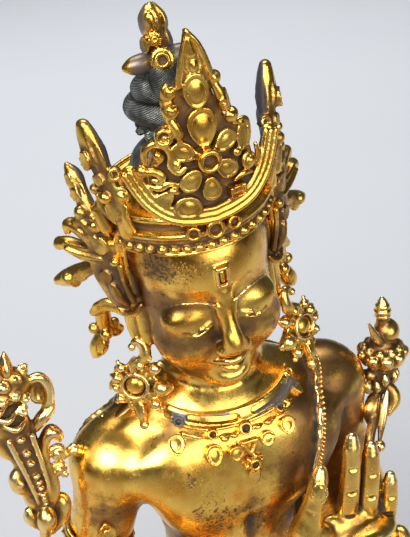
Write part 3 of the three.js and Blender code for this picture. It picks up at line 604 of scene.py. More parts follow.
# The head: a plain ideal face on even thirds, its chin at 40, the nose's base at 44, the brows
# at 48 and the hairline at 52.
def model_face(clay):
    clay.blob([0, 0.6, 50.3], (5.3, 6.0, 6.6), 0.3)
    clay.blob([0, -0.6, 46.9], (4.95, 5.15, 6.9), 1.0)
    clay.blob([0, -1.5, 43.0], (4.45, 3.75, 3.7), 1.2)
    clay.blob([0, -1.2, 50.4], (4.7, 4.6, 3.6), 1.2)
    clay.blob([0, -4.2, 40.4], (1.6, 1.3, 1.2), 1.1)
    clay.blob([0, -2.2, 39.9], (2.6, 2.2, 1.2), 1.0)
    clay.limb([[0, 1.0, 46], [0, 0.6, 40.6], [0, 0.4, 38.2]], [3.9, 3.5, 3.45], 1.0)
    for side in (1, -1):
        clay.blob([side * 2.75, -3.35, 44.1], (1.95, 1.85, 2.1), 1.3)
        clay.blob([side * 2.3, -6.3, 47.05], (1.9, 0.75, 0.9), 1.5, cut=True)
        clay.blob([side * 2.35, -4.3, 46.3], (1.85, 1.05, 1.0), 1.0)
        bridge = [[0.62, -5.85, 46.8], [0.78, -5.98, 47.6], [1.5, -6.02, 48.25], [2.9, -5.42, 48.4], [4.3, -4.1, 47.6]]
        brow = [[side * x, y, z] for x, y, z in bridge]
        clay.limb(brow, [0.05, 0.1, 0.12, 0.1, 0.04], 0.16)
        lid = [[0.85, -5.45, 46.2], [1.4, -5.64, 45.72], [2.3, -5.58, 45.42], [3.2, -5.1, 45.58], [4.1, -4.25, 46.15]]
        lid = [[side * x, y, z] for x, y, z in lid]
        clay.limb(lid, [0.05, 0.09, 0.11, 0.09, 0.04], 0.05)
        slit = [[p[0] * 0.99, p[1] - 0.02, p[2] + 0.17] for p in lid]
        clay.limb(slit, [0.02, 0.07, 0.07, 0.06, 0.02], 0.05, cut=True)
        upper_lid = [[p[0] * 0.98, p[1] + 0.02, p[2] + 0.36] for p in lid]
        clay.limb(upper_lid, [0.03, 0.07, 0.08, 0.06, 0.03], 0.06)
        clay.blob([side * 0.82, -6.2, 43.95], (0.5, 0.6, 0.46), 0.4)
        clay.blob([side * 0.42, -6.72, 43.52], (0.18, 0.3, 0.12), 0.12, cut=True)
        clay.limb([[side * 1.5, -5.6, 43.4], [side * 2.0, -5.2, 42.3]], [0.04, 0.1], 0.7, steps=1, cut=True)
    nose = [[0, -5.5, 48.4], [0, -5.62, 47.2], [0, -6.08, 45.6], [0, -6.55, 44.5], [0, -6.35, 43.95]]
    clay.limb(nose, [0.6, 0.6, 0.66, 0.76, 0.45], 0.6)
    clay.limb([[0, -5.98, 43.3], [0, -5.9, 42.9]], [0.08, 0.1], 0.4, cut=True, steps=1)
    upper = [[-1.35, -5.2, 42.25], [-0.55, -5.78, 42.5], [0, -5.86, 42.38], [0.55, -5.78, 42.5], [1.35, -5.2, 42.25]]
    clay.limb(upper, [0.1, 0.3, 0.3, 0.3, 0.1], 0.2)
    clay.limb([[-1.0, -5.25, 41.8], [0, -5.68, 41.6], [1.0, -5.25, 41.8]], [0.14, 0.42, 0.14], 0.2)
    clay.limb([[-1.35, -5.4, 42.2], [0, -6.14, 42.02], [1.35, -5.4, 42.2]], [0.03, 0.05, 0.03], 0.08, cut=True)
    clay.limb([[-0.8, -5.25, 41.0], [0, -5.5, 40.95], [0.8, -5.25, 41.0]], [0.06, 0.14, 0.06], 0.5, cut=True)


URNA = (0.5, 0.8)  # half sizes of the empty setting on the forehead


def model_urna(clay):
    """The open rectangular setting on the forehead."""

    def frame_of(grow, depth):
        def distance(x, y, z):
            side = np.maximum(np.abs(x) - URNA[0] - grow, np.abs(z - 50.0) - URNA[1] - grow)
            return np.maximum(side, np.abs(y + 5.85) - depth)

        return distance

    clay.apply((-0.8, -6.7, 49), (0.8, -5, 51), frame_of(0, 0.46), 0.14)
    clay.apply((-0.5, -6.7, 49), (0.5, -5, 51), frame_of(-0.22, 0.7), 0.05, cut=True)
    clay.apply((-0.5, -6.0, 49), (0.5, -5, 51), frame_of(-0.3, 0.3), 0.05)


def model_ear(clay, side):
    wide = [side * 0.7, 0.7, 0]
    lobe = [[5.2, -0.6, 49.5], [5.35, -0.9, 47.0], [5.45, -1.0, 45.2], [5.35, -1.15, 43.6], [5.3, -1.2, 42.5]]
    clay.limb([[side * x, y, z] for x, y, z in lobe], [[1.1, 0.4], [0.8, 0.4], [0.9, 0.45], [0.9, 0.45], [0.55, 0.4]], 0.35, wide=wide)
    rim = [(5.3, -1.3, 47.6), (5.35, -1.25, 49.3), (5.55, -0.2, 50.5), (5.75, 0.95, 49.8), (5.9, 0.9, 47.6), (5.95, 0.2, 45.6)]
    clay.limb([[side * x, y, z] for x, y, z in rim], [0.25, 0.28, 0.3, 0.3, 0.28, 0.15], 0.15)
    hollow = [[5.55, -1.45, 46.0], [5.75, -1.35, 44.6], [5.6, -1.4, 43.2]]
    clay.limb([[side * x, y, z] for x, y, z in hollow], [0.1, 0.28, 0.12], 0.3, cut=True)
    clay.blob([side * 5.75, -0.1, 48.4], (0.5, 0.55, 0.9), 0.3, cut=True)


def model_head():
    clay = Clay((-7, -8.2, 37.6), (7, 7.4, 57.6), 0.15)
    model_face(clay)
    model_urna(clay)
    model_ear(clay, 1)
    model_ear(clay, -1)
    return clay


# The crown, in the upright head's frame.
def spiral(clay, centre, facing, radius, thick, start, turns, hand=1, knob=1.5, blend=0.08, up=(0, 0, 1)):
    """A tendril that curls in round a knob. start is the angle of its open end, in turns."""
    across, rise, out = facing_axes(facing, up)
    centre = np.asarray(centre, float)
    rows = []
    for t in np.linspace(0, 1, 9 + int(8 * turns)):
        angle = 2 * math.pi * (start + hand * turns * t)
        r = radius * (1 - 0.55 * t)
        rows.append(centre + across * r * math.cos(angle) + rise * r * math.sin(angle))
    clay.limb(rows, [thick * 0.8, thick * 1.15, thick], blend, steps=1)
    clay.blob(centre + out * thick * 0.3, thick * knob, 0.05)


LEAF_OUTLINE = [  # height, and half widths to her right and her left
    [54.2, 2.2, 2.2],
    [55.4, 3.4, 3.4],
    [57.0, 4.0, 3.9],
    [58.8, 4.1, 3.7],
    [60.2, 3.6, 2.9],
    [61.7, 2.7, 2.1],
    [63.2, 2.05, 1.6],
    [64.4, 1.6, 1.3],
    [65.2, 0.8, 0.8],
]
LEAF_FRONT = -6.4
LEAF_BEND = 0.05


def on_leaf(x, z, out=0.0):
    return np.array([x, LEAF_FRONT + LEAF_BEND * x * x - out, z])


def leaf_facing(x):
    return (2 * LEAF_BEND * x, -1, 0.04)


def model_leaf_right(clay):
    """The scrolls and settings on the half of the front leaf over her right eye."""
    facing = lambda x: leaf_facing(-x)
    at = lambda x, z, out=0.0: on_leaf(-x, z, out)
    spiral(clay, at(1.64, 64.2, 0.05), facing(1.6), 0.42, 0.2, 0.3, 0.8, 1, 1.2)
    clay.limb([at(2.0, 64.0), at(2.05, 63.5), at(1.75, 63.2)], [0.16, 0.24, 0.2], 0.1)
    spiral(clay, at(1.72, 63.05, 0.12), facing(1.7), 0.5, 0.22, 0.25, 0.8, 1, 1.2)
    clay.limb([at(2.0, 62.6, 0.05), at(1.75, 62.1, 0.15), at(1.55, 61.5, 0.15), at(1.5, 61.0, 0.1)], [0.22, 0.34, 0.36, 0.2], 0.1)
    clay.blob(at(1.62, 61.35, 0.42), (0.2, 0.14, 0.3), 0.05)
    clay.setting(at(2.4, 61.45, 0.05), facing(2.4), 0.56, 0.3, 0.62)
    clay.blob(at(2.4, 61.4, 0.2), 0.25, 0.05)
    big = [(3.75, 59.9), (3.65, 60.7), (3.0, 61.1), (2.4, 60.75), (2.2, 60.1), (2.3, 59.4), (1.9, 58.85), (1.45, 59.1)]
    clay.limb([at(x, z, 0.15) for x, z in big], [0.2, 0.24, 0.27, 0.27, 0.26, 0.26, 0.24, 0.16], 0.07)
    clay.limb([at(3.1, 59.7, 0.1), at(2.75, 60.1, 0.15), at(3.0, 60.45, 0.15)], [0.2, 0.2, 0.16], 0.06)
    clay.blob(at(2.98, 60.3, 0.22), 0.3, 0.05)
    clay.blob(at(1.95, 59.45, 0.2), 0.28, 0.05)
    clay.blob(at(4.0, 59.35, 0.05), 0.42, 0.08)
    curl = [(4.1, 58.9), (3.7, 59.2), (3.2, 59.1), (2.9, 58.75), (3.15, 58.45), (3.45, 58.6)]
    clay.limb([at(x, z, 0.1) for x, z in curl], [0.16, 0.24, 0.28, 0.28, 0.24, 0.16], 0.07)
    clay.limb([at(3.9, 58.3), at(3.2, 57.95, 0.1), at(2.5, 58.2, 0.1), at(1.9, 57.8)], [0.14, 0.22, 0.2, 0.12], 0.08)
    clay.limb([at(3.5, 57.55), at(2.8, 57.4, 0.1), at(2.4, 57.66, 0.15), at(2.0, 57.3)], [0.12, 0.2, 0.26, 0.14], 0.08)
    clay.cabochon(at(3.15, 56.98, 0.12), facing(3.1), 0.46, 0.8, up=(0.75, 0, 0.6))
    clay.cabochon(at(1.68, 56.3, 0.16), facing(1.6), 0.84, 0.68, up=(0.2, 0, 1))


def model_leaf_left(clay):
    """The scrolls and settings on the half over her left eye."""
    spiral(clay, on_leaf(1.15, 64.35, 0.05), leaf_facing(1.1), 0.36, 0.18, 0.3, 0.8, -1, 1.4)
    drop = [on_leaf(1.15, 63.9, 0.1), on_leaf(1.4, 63.2, 0.15), on_leaf(1.45, 62.5, 0.15), on_leaf(1.7, 62.1, 0.05)]
    clay.limb(drop, [0.26, 0.36, 0.34, 0.18], 0.1)
    clay.setting(on_leaf(1.38, 62.8, 0.3), leaf_facing(1.4), 0.27, 0.2, 0.5)
    clay.limb([on_leaf(1.75, 63.4), on_leaf(1.85, 62.7), on_leaf(1.95, 62.2)], [0.12, 0.16, 0.12], 0.08)
    spiral(clay, on_leaf(1.95, 61.6, 0.05), leaf_facing(1.9), 0.4, 0.2, 0.2, 0.8, -1, 1.5)
    clay.cabochon(on_leaf(2.5, 60.0, 0.1), leaf_facing(2.5), 0.34, 0.86, up=(0.12, 0, 1))
    clay.limb([on_leaf(2.1, 61.0, 0.05), on_leaf(2.95, 60.9), on_leaf(3.05, 60.0), on_leaf(2.9, 59.2)], [0.16, 0.2, 0.2, 0.16], 0.08)
    clay.blob(on_leaf(2.0, 59.05, 0.1), 0.32, 0.06)
    spiral(clay, on_leaf(2.85, 58.1, 0.1), leaf_facing(2.8), 0.52, 0.2, 0.25, 0.85, 1, 1.5)
    clay.limb([on_leaf(3.5, 58.9), on_leaf(3.6, 58.2), on_leaf(3.3, 57.5)], [0.14, 0.2, 0.14], 0.08)
    clay.limb([on_leaf(1.7, 57.1, 0.05), on_leaf(2.3, 57.4, 0.12), on_leaf(2.9, 57.2, 0.05)], [0.14, 0.22, 0.14], 0.08)
    clay.cabochon(on_leaf(3.1, 56.25, 0.12), leaf_facing(3.1), 0.38, 0.8, up=(0.45, 0, 0.85))
    square_setting(clay, on_leaf(1.68, 56.46, 0.26), leaf_facing(1.7), 0.58, 0.42)


def model_front_leaf():
    clay = Clay((-6.2, -8.0, 53.0), (6.2, -3.2, 68.4), 0.095)
    heights = [row[0] for row in LEAF_OUTLINE]

    def ground(x, y, z):
        right, left = [np.interp(z, heights, [row[k] for row in LEAF_OUTLINE]).astype(np.float32) for k in (1, 2)]
        front = LEAF_FRONT + 0.25 + LEAF_BEND * x * x
        side = np.maximum(np.maximum(-x - right, x - left) * 0.9, np.maximum(54.2 - z, z - 65.2))
        return np.maximum(side + 0.5, np.abs(y - front - 0.3) - 0.3) - 0.05

    clay.apply((-4.3, -6.5, 54), (4.3, -4.4, 65.4), ground, 0.1)
    spike = [on_leaf(0, 63.8, -0.25), on_leaf(0, 65.3, -0.2), on_leaf(-0.05, 66.5, -0.2), on_leaf(-0.1, 67.55, -0.25)]
    clay.limb(spike, [[1.0, 0.36], [0.8, 0.36], [0.52, 0.3], [0.16, 0.14]], 0.12, wide=[1, 0, 0])
    for s in (-1, 1):
        edge = [on_leaf(s * 1.05, 64.4, 0.05), on_leaf(s * 0.8, 65.6, 0.08), on_leaf(s * 0.45, 66.7, 0.05), on_leaf(-0.1, 67.6)]
        clay.limb(edge, [0.2, 0.2, 0.18, 0.14], 0.06)
    clay.limb([on_leaf(-0.05, 66.2, 0.05), on_leaf(-0.1, 67.1, 0.1)], [[0.3, 0.2], [0.12, 0.12]], 0.05, wide=[1, 0, 0])
    clay.blob(on_leaf(-0.02, 65.45, 0.08), (0.26, 0.22, 0.42), 0.05)
    for s in (-1, 1):
        clay.limb([on_leaf(s * 0.5, 66.1, 0.02), on_leaf(s * 0.52, 65.5, 0.06), on_leaf(s * 0.28, 65.0, 0.1)], [0.08, 0.12, 0.1], 0.05)

    front = (0, -1, 0.04)
    clay.cabochon(on_leaf(-0.1, 63.92, 0.12), front, 0.72, 1.02, point=-0.08)
    clay.cabochon(on_leaf(-0.05, 61.5, 0.14), front, 0.83, 1.2, point=-0.28)
    for x, z in ((-1.4, 60.15), (1.3, 60.15), (-1.2, 58.1), (1.15, 58.3), (0.0, 57.2)):
        outward = (x, 0, z - 59.3)
        clay.cabochon(on_leaf(x, z, 0.12), leaf_facing(x), 0.56, 0.76, up=outward, point=-0.22)
    clay.setting(on_leaf(-0.08, 59.5, 0.45), front, 0.76, 0.5, 0.58)
    model_leaf_right(clay)
    model_leaf_left(clay)
    ridge_cradle(clay, -1)
    ridge_cradle(clay, 1)
    return clay


def ridge_cradle(clay, side):
    """Three ridges side by side, from under the leaf's middle up to a free end beside it."""
    run = [[0, 54.95], [1.5, 55.15], [2.9, 55.65], [4.0, 56.7], [4.65, 57.9], [5.1, 59.2]]
    across = [[-0.05, 1], [-0.2, 1], [-0.5, 0.85], [-0.8, 0.6], [-0.95, 0.4], [-0.98, 0.3]]
    for i in range(3):
        rows = []
        for (x, z), (ax, az) in zip(run, across):
            x, z = x + ax * 0.36 * i, z + az * 0.36 * i
            rows.append(on_leaf(side * x, z, 0.28 - 0.1 * i))
        clay.limb(rows, [0.23, 0.25, 0.22, 0.2], 0.06)
    middle = [on_leaf(side * (x + ax * 0.36), z + az * 0.36, -0.15) for (x, z), (ax, az) in zip(run, across)]
    clay.limb(middle, [[0.5, 0.3]] * 6, 0.1, wide=[-0.6 * side, 0, 0.8])


def square_setting(clay, centre, facing, half_width, half_height):
    """An open rectangular setting."""
    axes = facing_axes(facing)

    def walls(grow, low, high):
        def distance(x, y, z):
            offset = (x - centre[0], y - centre[1], z - centre[2])
            u, v, n = [sum(a * o for a, o in zip(axis, offset)) for axis in axes]
            side = np.maximum(np.abs(u) - half_width - grow, np.abs(v) - half_height - grow)
            return np.maximum(side, np.maximum(low - n, n - high))

        return distance

    reach = max(half_width, half_height) + 0.4
    clay.apply(centre - reach, centre + reach, walls(0, -0.4, 0.3), 0.1)
    clay.apply(centre - reach, centre + reach, walls(-0.17, -0.02, 1.0), 0.05, cut=True)


# The band: a ridged hoop that dips towards the ears.
BAND_WIDTH = 5.75
BAND_DEPTH = 6.15
BAND_DIP = 0.9


def on_band(angle, lift, z):
    dip = BAND_DIP * min((1 - math.cos(angle)) ** 2, 1)
    return np.array([
        (BAND_WIDTH + lift) * math.sin(angle),
        0.1 - (BAND_DEPTH + lift) * math.cos(angle),
        z - dip,
    ])


def band_facing(angle):
    return (math.sin(angle), -math.cos(angle), 0.05)


def model_band():
    clay = Clay((-7.2, -7.6, 49.6), (7.2, 7.2, 56.0), 0.115)
    all_round = np.radians(np.arange(-180, 181, 6))
    in_front = np.radians(np.arange(-66, 67, 6))
    behind = np.radians(np.arange(72, 289, 6))
    clay.limb([on_band(a, -0.4, 53.6) for a in all_round], [[1.35, 0.5]] * 2, 0.1, wide=[0, 0, 1], steps=1)
    clay.limb([on_band(a, 0.0, 55.0) for a in all_round], [0.22] * 2, 0.08, steps=1)
    clay.limb([on_band(a, 0.12, 53.8) for a in in_front], [0.24] * 2, 0.06, steps=1)
    clay.limb([on_band(a, 0.05, 53.36) for a in in_front], [0.13] * 2, 0.05, steps=1)
    clay.limb([on_band(a, 0.05, 53.5) for a in behind], [0.25] * 2, 0.08, steps=1)
    clay.limb([on_band(a, -0.05, 52.28) for a in np.radians(np.arange(-70, 71, 5))], [0.13] * 2, 0.05, steps=1)
    for side in (-1, 1):
        groove = [on_band(side * math.radians(a), 0.14, 54.45) for a in range(19, 58, 5)]
        clay.limb(groove, [[0.32, 0.42]] * 2, 0.05, wide=[0, 0, 1], steps=1, cut=True)
        corner = [on_band(side * math.radians(a), 0.16, z) for a, z in ((60, 53.9), (67, 53.8), (72, 53.2), (74, 52.2), (75, 50.9))]
        clay.limb(corner, [0.28] * 2, 0.08)
        inner = [on_band(side * math.radians(a), 0.06, z) for a, z in ((58, 53.35), (64, 53.2), (68, 52.6), (70, 51.6), (70, 50.8))]
        clay.limb(inner, [0.16] * 2, 0.06)
        outer = [on_band(side * math.radians(a), 0.1, z) for a, z in ((62, 55.0), (72, 54.9), (79, 54.0), (81, 52.4))]
        clay.limb(outer, [0.25] * 2, 0.1)
        post = side * math.radians(60)
        clay.limb([on_band(post, 0.05, 54.0), on_band(post, 0.05, 54.95)], [0.2] * 2, 0.08, steps=1)
    for i in range(-9, 8):
        clay.blob(on_band(0.075 + i * 0.143, 0.06, 52.82), (0.37, 0.36, 0.32), 0.04)
    for turn, radius in ((-0.03, 0.66), (-0.255, 0.5), (0.185, 0.5)):
        clay.setting(on_band(turn, 0.3, 54.25), band_facing(turn), radius, 0.42, 0.6)
    for i in range(9):
        turn = math.pi * (0.62 + 0.76 * i / 8)
        clay.cabochon(on_band(turn, -0.1, 54.3), band_facing(turn), 0.34, 0.34)
    return clay


def leaf_ridges(clay, spine, aside, outward, rows):
    """Ridges along a leaf: each row is how far aside and how far out it runs, and its radius."""
    spine, aside, outward = np.asarray(spine, float), np.asarray(aside, float), np.asarray(outward, float)
    taper = np.sin(np.linspace(0.25 * math.pi, 0.95 * math.pi, len(spine)))
    for across, out, radius in rows:
        path = [p + aside * across * t + outward * out * max(t, 0.35) for p, t in zip(spine, taper)]
        clay.limb(path, [radius * 0.8, radius, radius, radius * 0.6], 0.05)


def model_crown_side():
    """The leaves, ribbon ends and tassel on her left, which the right side mirrors."""
    clay = Clay((3.4, -5.4, 38.6), (11.2, 4.9, 63.2), 0.13)
    facing = unit((0.9, -0.4, 0.1))
    aside = unit((0.4, 0.9, 0))
    leaf = [[5.2, -3.2, 54.2], [5.3, -3.1, 55.6], [5.55, -2.9, 57.2], [5.75, -2.5, 58.7], [6.0, -2.1, 60.1], [6.15, -1.9, 61.1], [6.25, -1.8, 61.9]]
    sizes = [[0.55, 0.45], [0.6, 0.45], [0.9, 0.5], [0.8, 0.55], [0.88, 0.64], [0.82, 0.6], [0.56, 0.42]]
    clay.limb(leaf, sizes, 0.12, wide=aside)
    clay.cabochon([6.7, -2.5, 59.85], facing, 0.4, 0.62, up=(0.15, 0.1, 1), blend=0.06)
    clay.cabochon([6.2, -2.9, 58.5], (0.8, -0.6, 0.1), 0.38, 0.38)
    clay.blob([6.1, -3.2, 57.3], 0.46, 0.06)
    clay.blob([6.5, -2.3, 57.6], 0.36, 0.06)
    clay.setting([5.2, -3.3, 58.8], (0.3, -1, 0.2), 0.46, 0.25, 0.5)
    spiral(clay, [5.1, -3.6, 57.3], (0.3, -1, 0.1), 0.55, 0.2, 0.1, 0.85, 1, 1.7)
    clay.cabochon([5.85, -3.3, 56.2], (0.6, -0.8, 0), 0.38, 0.66, up=(0.35, 0, 1))
    clay.limb([[4.9, -3.7, 54.6], [5.15, -3.75, 55.6], [5.0, -3.7, 56.5]], [0.26, 0.24, 0.16], 0.1)
    clay.limb([[5.6, -2.6, 55.0], [6.15, -2.3, 56.0], [6.35, -2.1, 57.0]], [0.3, 0.32, 0.2], 0.1)
    leaf_ridges(clay, leaf[3:], aside, facing, ((0.3, 0.6, 0.12), (-0.55, 0.55, 0.13), (-0.95, 0.1, 0.14), (0.9, 0.2, 0.13)))
    leaf_ridges(clay, leaf[3:], aside, -facing, ((0.45, 0.6, 0.13), (-0.35, 0.62, 0.13)))

    low_leaf = [[6.1, -0.6, 53.2], [6.55, -0.1, 54.2], [6.85, 0.5, 55.2], [6.95, 1.0, 56.0], [7.05, 1.4, 56.9], [7.3, 1.7, 57.7]]
    clay.limb(low_leaf, [[0.6, 0.5], [0.65, 0.55], [0.7, 0.55], [0.62, 0.52], [0.72, 0.56], [0.2, 0.2]], 0.12, wide=aside)
    clay.cabochon([7.45, 1.1, 56.9], facing, 0.3, 0.46, up=(0.2, 0.2, 1))
    clay.cabochon([7.35, 0.7, 55.85], facing, 0.4, 0.4)
    clay.blob([7.35, 0.1, 54.8], 0.5, 0.06)
    spiral(clay, [6.85, -0.9, 54.1], (0.7, -0.7, 0.1), 0.52, 0.22, 0.2, 0.8, 1, 1.5)
    clay.limb([[6.2, -1.7, 54.2], [6.35, -1.6, 55.4], [6.1, -1.5, 56.4]], [0.5, 0.46, 0.26], 0.15)
    clay.blob([6.6, -1.5, 55.6], 0.34, 0.06)
    leaf_ridges(clay, low_leaf[2:], aside, facing, ((0.25, 0.55, 0.11), (-0.5, 0.5, 0.12), (-0.8, 0.1, 0.12)))

    plate = [[6.3, -1.0, 52.6], [6.5, -0.8, 50.6], [6.25, -0.8, 48.6], [5.85, -0.7, 46.6]]
    clay.limb(plate, [[0.9, 0.5], [1.15, 0.45], [1.0, 0.42], [0.7, 0.4]], 0.3, wide=[0.72, 0.65, -0.2])
    clay.cabochon([6.85, -1.15, 50.0], (0.7, -0.7, 0.05), 0.46, 0.46)
    clay.cabochon([6.75, -1.2, 52.6], (0.7, -0.7, 0.1), 0.55, 0.62)
    clay.blob([6.2, -1.9, 51.4], 0.34, 0.06)
    edge = [[7.4, -0.1, 51.0], [7.3, -0.1, 49.6], [6.9, -0.15, 48.1], [6.4, -0.3, 46.7], [5.6, -0.8, 46.0]]
    clay.limb(edge, [0.22, 0.22, 0.22, 0.24, 0.2], 0.1)
    clay.limb([[5.9, -1.9, 50.9], [5.8, -1.75, 49.2], [5.45, -1.7, 47.6]], [0.22, 0.22, 0.24], 0.1)
    clay.limb([[6.55, -1.3, 49.2], [6.3, -1.4, 48.2], [5.9, -1.4, 47.3]], [0.34, 0.38, 0.18], 0.1)
    clay.limb([[5.0, -1.9, 47.2], [5.5, -1.75, 46.6], [6.1, -1.25, 46.4], [6.5, -0.6, 46.8]], [0.18, 0.25, 0.25, 0.16], 0.08)

    top = [[6.8, -0.4, 52.2], [7.3, 0.2, 53.0], [7.9, 0.7, 53.6], [8.3, 1.0, 53.6], [8.4, 1.1, 53.1]]
    clay.limb(top, [0.62, 0.6, 0.52, 0.42, 0.3], 0.15)
    clay.limb([[6.9, -0.7, 52.9], [7.2, -0.3, 53.9], [7.5, 0.1, 54.3]], [0.42, 0.42, 0.36], 0.08)
    clay.blob([7.65, 0.2, 54.1], 0.42, 0.05)
    clay.limb([[7.1, -0.7, 52.6], [7.7, -0.05, 53.4], [8.3, 0.55, 53.6]], [0.16, 0.2, 0.14], 0.05)
    middle = [[6.9, -0.2, 51.5], [7.8, 0.6, 51.6], [8.5, 1.3, 51.9], [9.0, 1.8, 51.95]]
    clay.limb(middle, [0.62, 0.62, 0.55, 0.42], 0.12)
    clay.blob([9.05, 1.85, 51.8], 0.48, 0.1)
    for lift, out in ((0.45, 0.35), (-0.05, 0.6), (-0.5, 0.3)):
        path = [[6.95, -0.5 - out, 51.5 + lift], [7.8 + 0.3 * out, 0.6 - out, 51.6 + lift], [8.7 + 0.3 * out, 1.4 - out, 51.95 + lift * 0.7]]
        clay.limb(path, [0.16, 0.23, 0.16], 0.05)
    low = [[6.9, 0.1, 50.3], [7.7, 0.9, 49.7], [8.5, 1.6, 49.1], [9.2, 2.1, 48.7], [9.75, 2.4, 48.5]]
    clay.limb(low, [0.5, 0.58, 0.68, 0.6, 0.36], 0.12)
    clay.cabochon([8.2, 0.8, 49.5], (0.65, -0.75, 0.2), 0.42, 0.42)
    clay.blob([9.15, 1.5, 49.0], 0.5, 0.06)
    clay.blob([8.7, 1.5, 48.5], 0.42, 0.06)
    clay.limb([[8.0, 1.0, 48.9], [8.9, 1.7, 48.3], [9.6, 2.2, 48.2]], [0.18, 0.2, 0.14], 0.08)

    clay.limb([[5.7, 0.1, 45.5], [6.5, 0.9, 45.9], [7.2, 1.4, 45.8], [7.9, 1.8, 45.2]], [0.45, 0.5, 0.5, 0.34], 0.15)
    clay.limb([[6.2, 0.3, 46.2], [6.9, 0.9, 46.4], [7.6, 1.4, 46.1], [8.0, 1.7, 45.6]], [0.14, 0.18, 0.18, 0.1], 0.06)
    clay.limb([[7.1, 1.5, 45.5], [7.25, 2.0, 44.4], [7.3, 2.2, 43.2]], [0.4, 0.62, 0.55], 0.15)
    clay.blob([8.1, 2.4, 43.3], 0.44, 0.06)
    clay.blob([7.4, 1.6, 43.0], 0.48, 0.06)
    clay.limb([[7.1, 2.2, 43.2], [6.6, 2.4, 42.6], [6.1, 2.4, 42.5]], [0.55, 0.6, 0.3], 0.1)
    clay.blob([6.5, 2.3, 43.3], 0.42, 0.08)
    clay.limb([[7.5, 2.3, 42.8], [7.8, 2.45, 41.9], [8.1, 2.6, 41.2], [8.6, 2.8, 40.3]], [0.4, 0.68, 0.7, 0.12], 0.08)
    clay.limb([[7.7, 1.8, 42.1], [8.0, 1.95, 41.2], [8.5, 2.4, 40.5]], [0.14, 0.18, 0.07], 0.05)
    return clay


# The earrings: a rosette round a stone's place, hung from a hook, with a drop below.
EARRING_KNOBS = [  # across towards the face, up, and size
    (1.34, 1.1, 0.4),
    (1.62, -0.24, 0.56),
    (1.12, -1.36, 0.38),
    (-0.34, -1.42, 0.3),
    (-1.08, -0.95, 0.26),
    (-1.3, -0.2, 0.24),
    (-1.12, 0.5, 0.34),
    (-0.76, 1.2, 0.3),
    (0.1, 1.4, 0.24),
]


def model_earring():
    clay = Clay((3.6, -5.2, 34.2), (10.4, 1.6, 45.2), 0.1)
    centre = np.array([7.1, -1.5, 39.6])
    facing = unit((0.45, -0.86, 0.26))
    across, up, out = facing_axes(facing)
    at = lambda u, v, n=0.0: centre + (-across * u + up * v) * 1.2 + out * n

    def plate(x, y, z):
        offset = (x - centre[0], y - centre[1], z - centre[2])
        u, v, n = [sum(a * o for a, o in zip(axis, offset)) for axis in (across, up, out)]
        turn = np.arctan2(v, u)
        edge = 1.8 + 0.22 * np.cos(turn * 8)
        return np.maximum((np.sqrt(u * u + v * v) - edge) * 0.85, np.abs(n + 0.1) - 0.22) - 0.05

    clay.apply(centre - 2.6, centre + 2.6, plate, 0.1)
    clay.oval(at(0, 0, 0.1), facing, 1.08, 1.08, lambda off, _, n: np.maximum(off, np.abs(n) - 0.34), 0.08, up)
    clay.ring(at(0, 0, 0.42), facing, 0.98, 0.17, 0.05)
    clay.oval(at(0, 0, 0.45), facing, 0.82, 0.82, lambda off, _, n: np.maximum(off, -n - 0.28), 0.04, up, cut=True)
    clay.blob(at(0, 0, 0.22), (0.73, 0.73, 0.4), 0.02, axes=np.array([across, up, out]))
    for u, v, size in EARRING_KNOBS:
        clay.blob(at(u, v, 0.16), size * 1.2, 0.05)
        clay.blob(at(u * 1.28, v * 1.28, 0.02), size * 0.62, 0.05)
    for i in range(18):
        turn = math.pi * i / 9
        clay.blob(at(1.06 * math.cos(turn), 1.06 * math.sin(turn), 0.14), 0.13, 0.04)
    clay.limb([at(0, -1.15, 0.1), at(0.12, -1.9, 0.15), at(0.2, -2.6, 0.1)], [0.45, 0.46, 0.3], 0.08)
    clay.limb([at(-0.14, -1.3, 0.45), at(0.0, -2.0, 0.5), at(0.15, -2.5, 0.4)], [0.1, 0.13, 0.08], 0.05)
    clay.limb([at(0.34, -1.3, 0.45), at(0.34, -2.0, 0.5), at(0.25, -2.5, 0.4)], [0.1, 0.13, 0.08], 0.05)
    clay.blob(at(0.25, -2.85, 0.14), 0.42, 0.06)
    clay.limb([at(0.26, -3.1), at(0.28, -3.35)], [0.2, 0.08], 0.1, steps=1)
    hook = [(0.15, 2.72), (0.3, 3.0), (0.6, 3.08), (0.88, 2.8), (0.92, 2.2), (0.7, 1.85), (0.32, 1.7), (0.0, 1.45), (0.0, 1.1), (0.1, 0.85)]
    clay.limb([at(u, v, 0.35) for u, v in hook], [0.16, 0.26, 0.34, 0.4, 0.44, 0.38, 0.3, 0.26, 0.24, 0.14], 0.06)
    clay.limb([at(0.85, 2.2, 0.3), at(1.12, 1.85, 0.25), at(0.9, 1.6, 0.25)], [0.36, 0.2, 0.16], 0.08)
    clay.blob(at(0.12, 2.68, 0.4), 0.3, 0.04)
    clay.blob(at(0.5, 1.45, 0.5), 0.32, 0.04)
    return clay


# Hair: drawn up through the crown into a wound knot with a jewel on top.
def model_hair():
    clay = Clay((-6.2, -5.4, 43.8), (6.2, 7.6, 63.4), 0.18)
    clay.blob([0, 1.2, 49.6], (5.7, 6.0, 5.4), 0.1)
    clay.blob([0, 1.0, 55.4], (3.2, 3.2, 2.3), 0.3)
    clay.limb([[0, 0.95, 57.6], [0, 0.95, 59.4]], [1.7, 2.1], 0.2, steps=1)
    for i in range(12):
        turn = math.pi * i / 6
        clay.blob([2.1 * math.sin(turn), 0.9 - 2.1 * math.cos(turn), 58.5], 0.33, 0.06)
    clay.blob([0, 0.95, 60.1], (2.9, 2.8, 1.2), 0.12)
    clay.blob([0, 0.9, 61.35], (2.2, 2.2, 1.0), 0.1)
    clay.limb([[0, 0.85, 61.6], [-0.05, 0.5, 62.9]], [1.5, 0.95], 0.2, steps=1)
    clay.limb([[0.1, -1.2, 60.6], [-0.2, -0.9, 61.8], [-0.35, -0.5, 62.7]], [0.75, 0.85, 0.8], 0.15)
    return clay


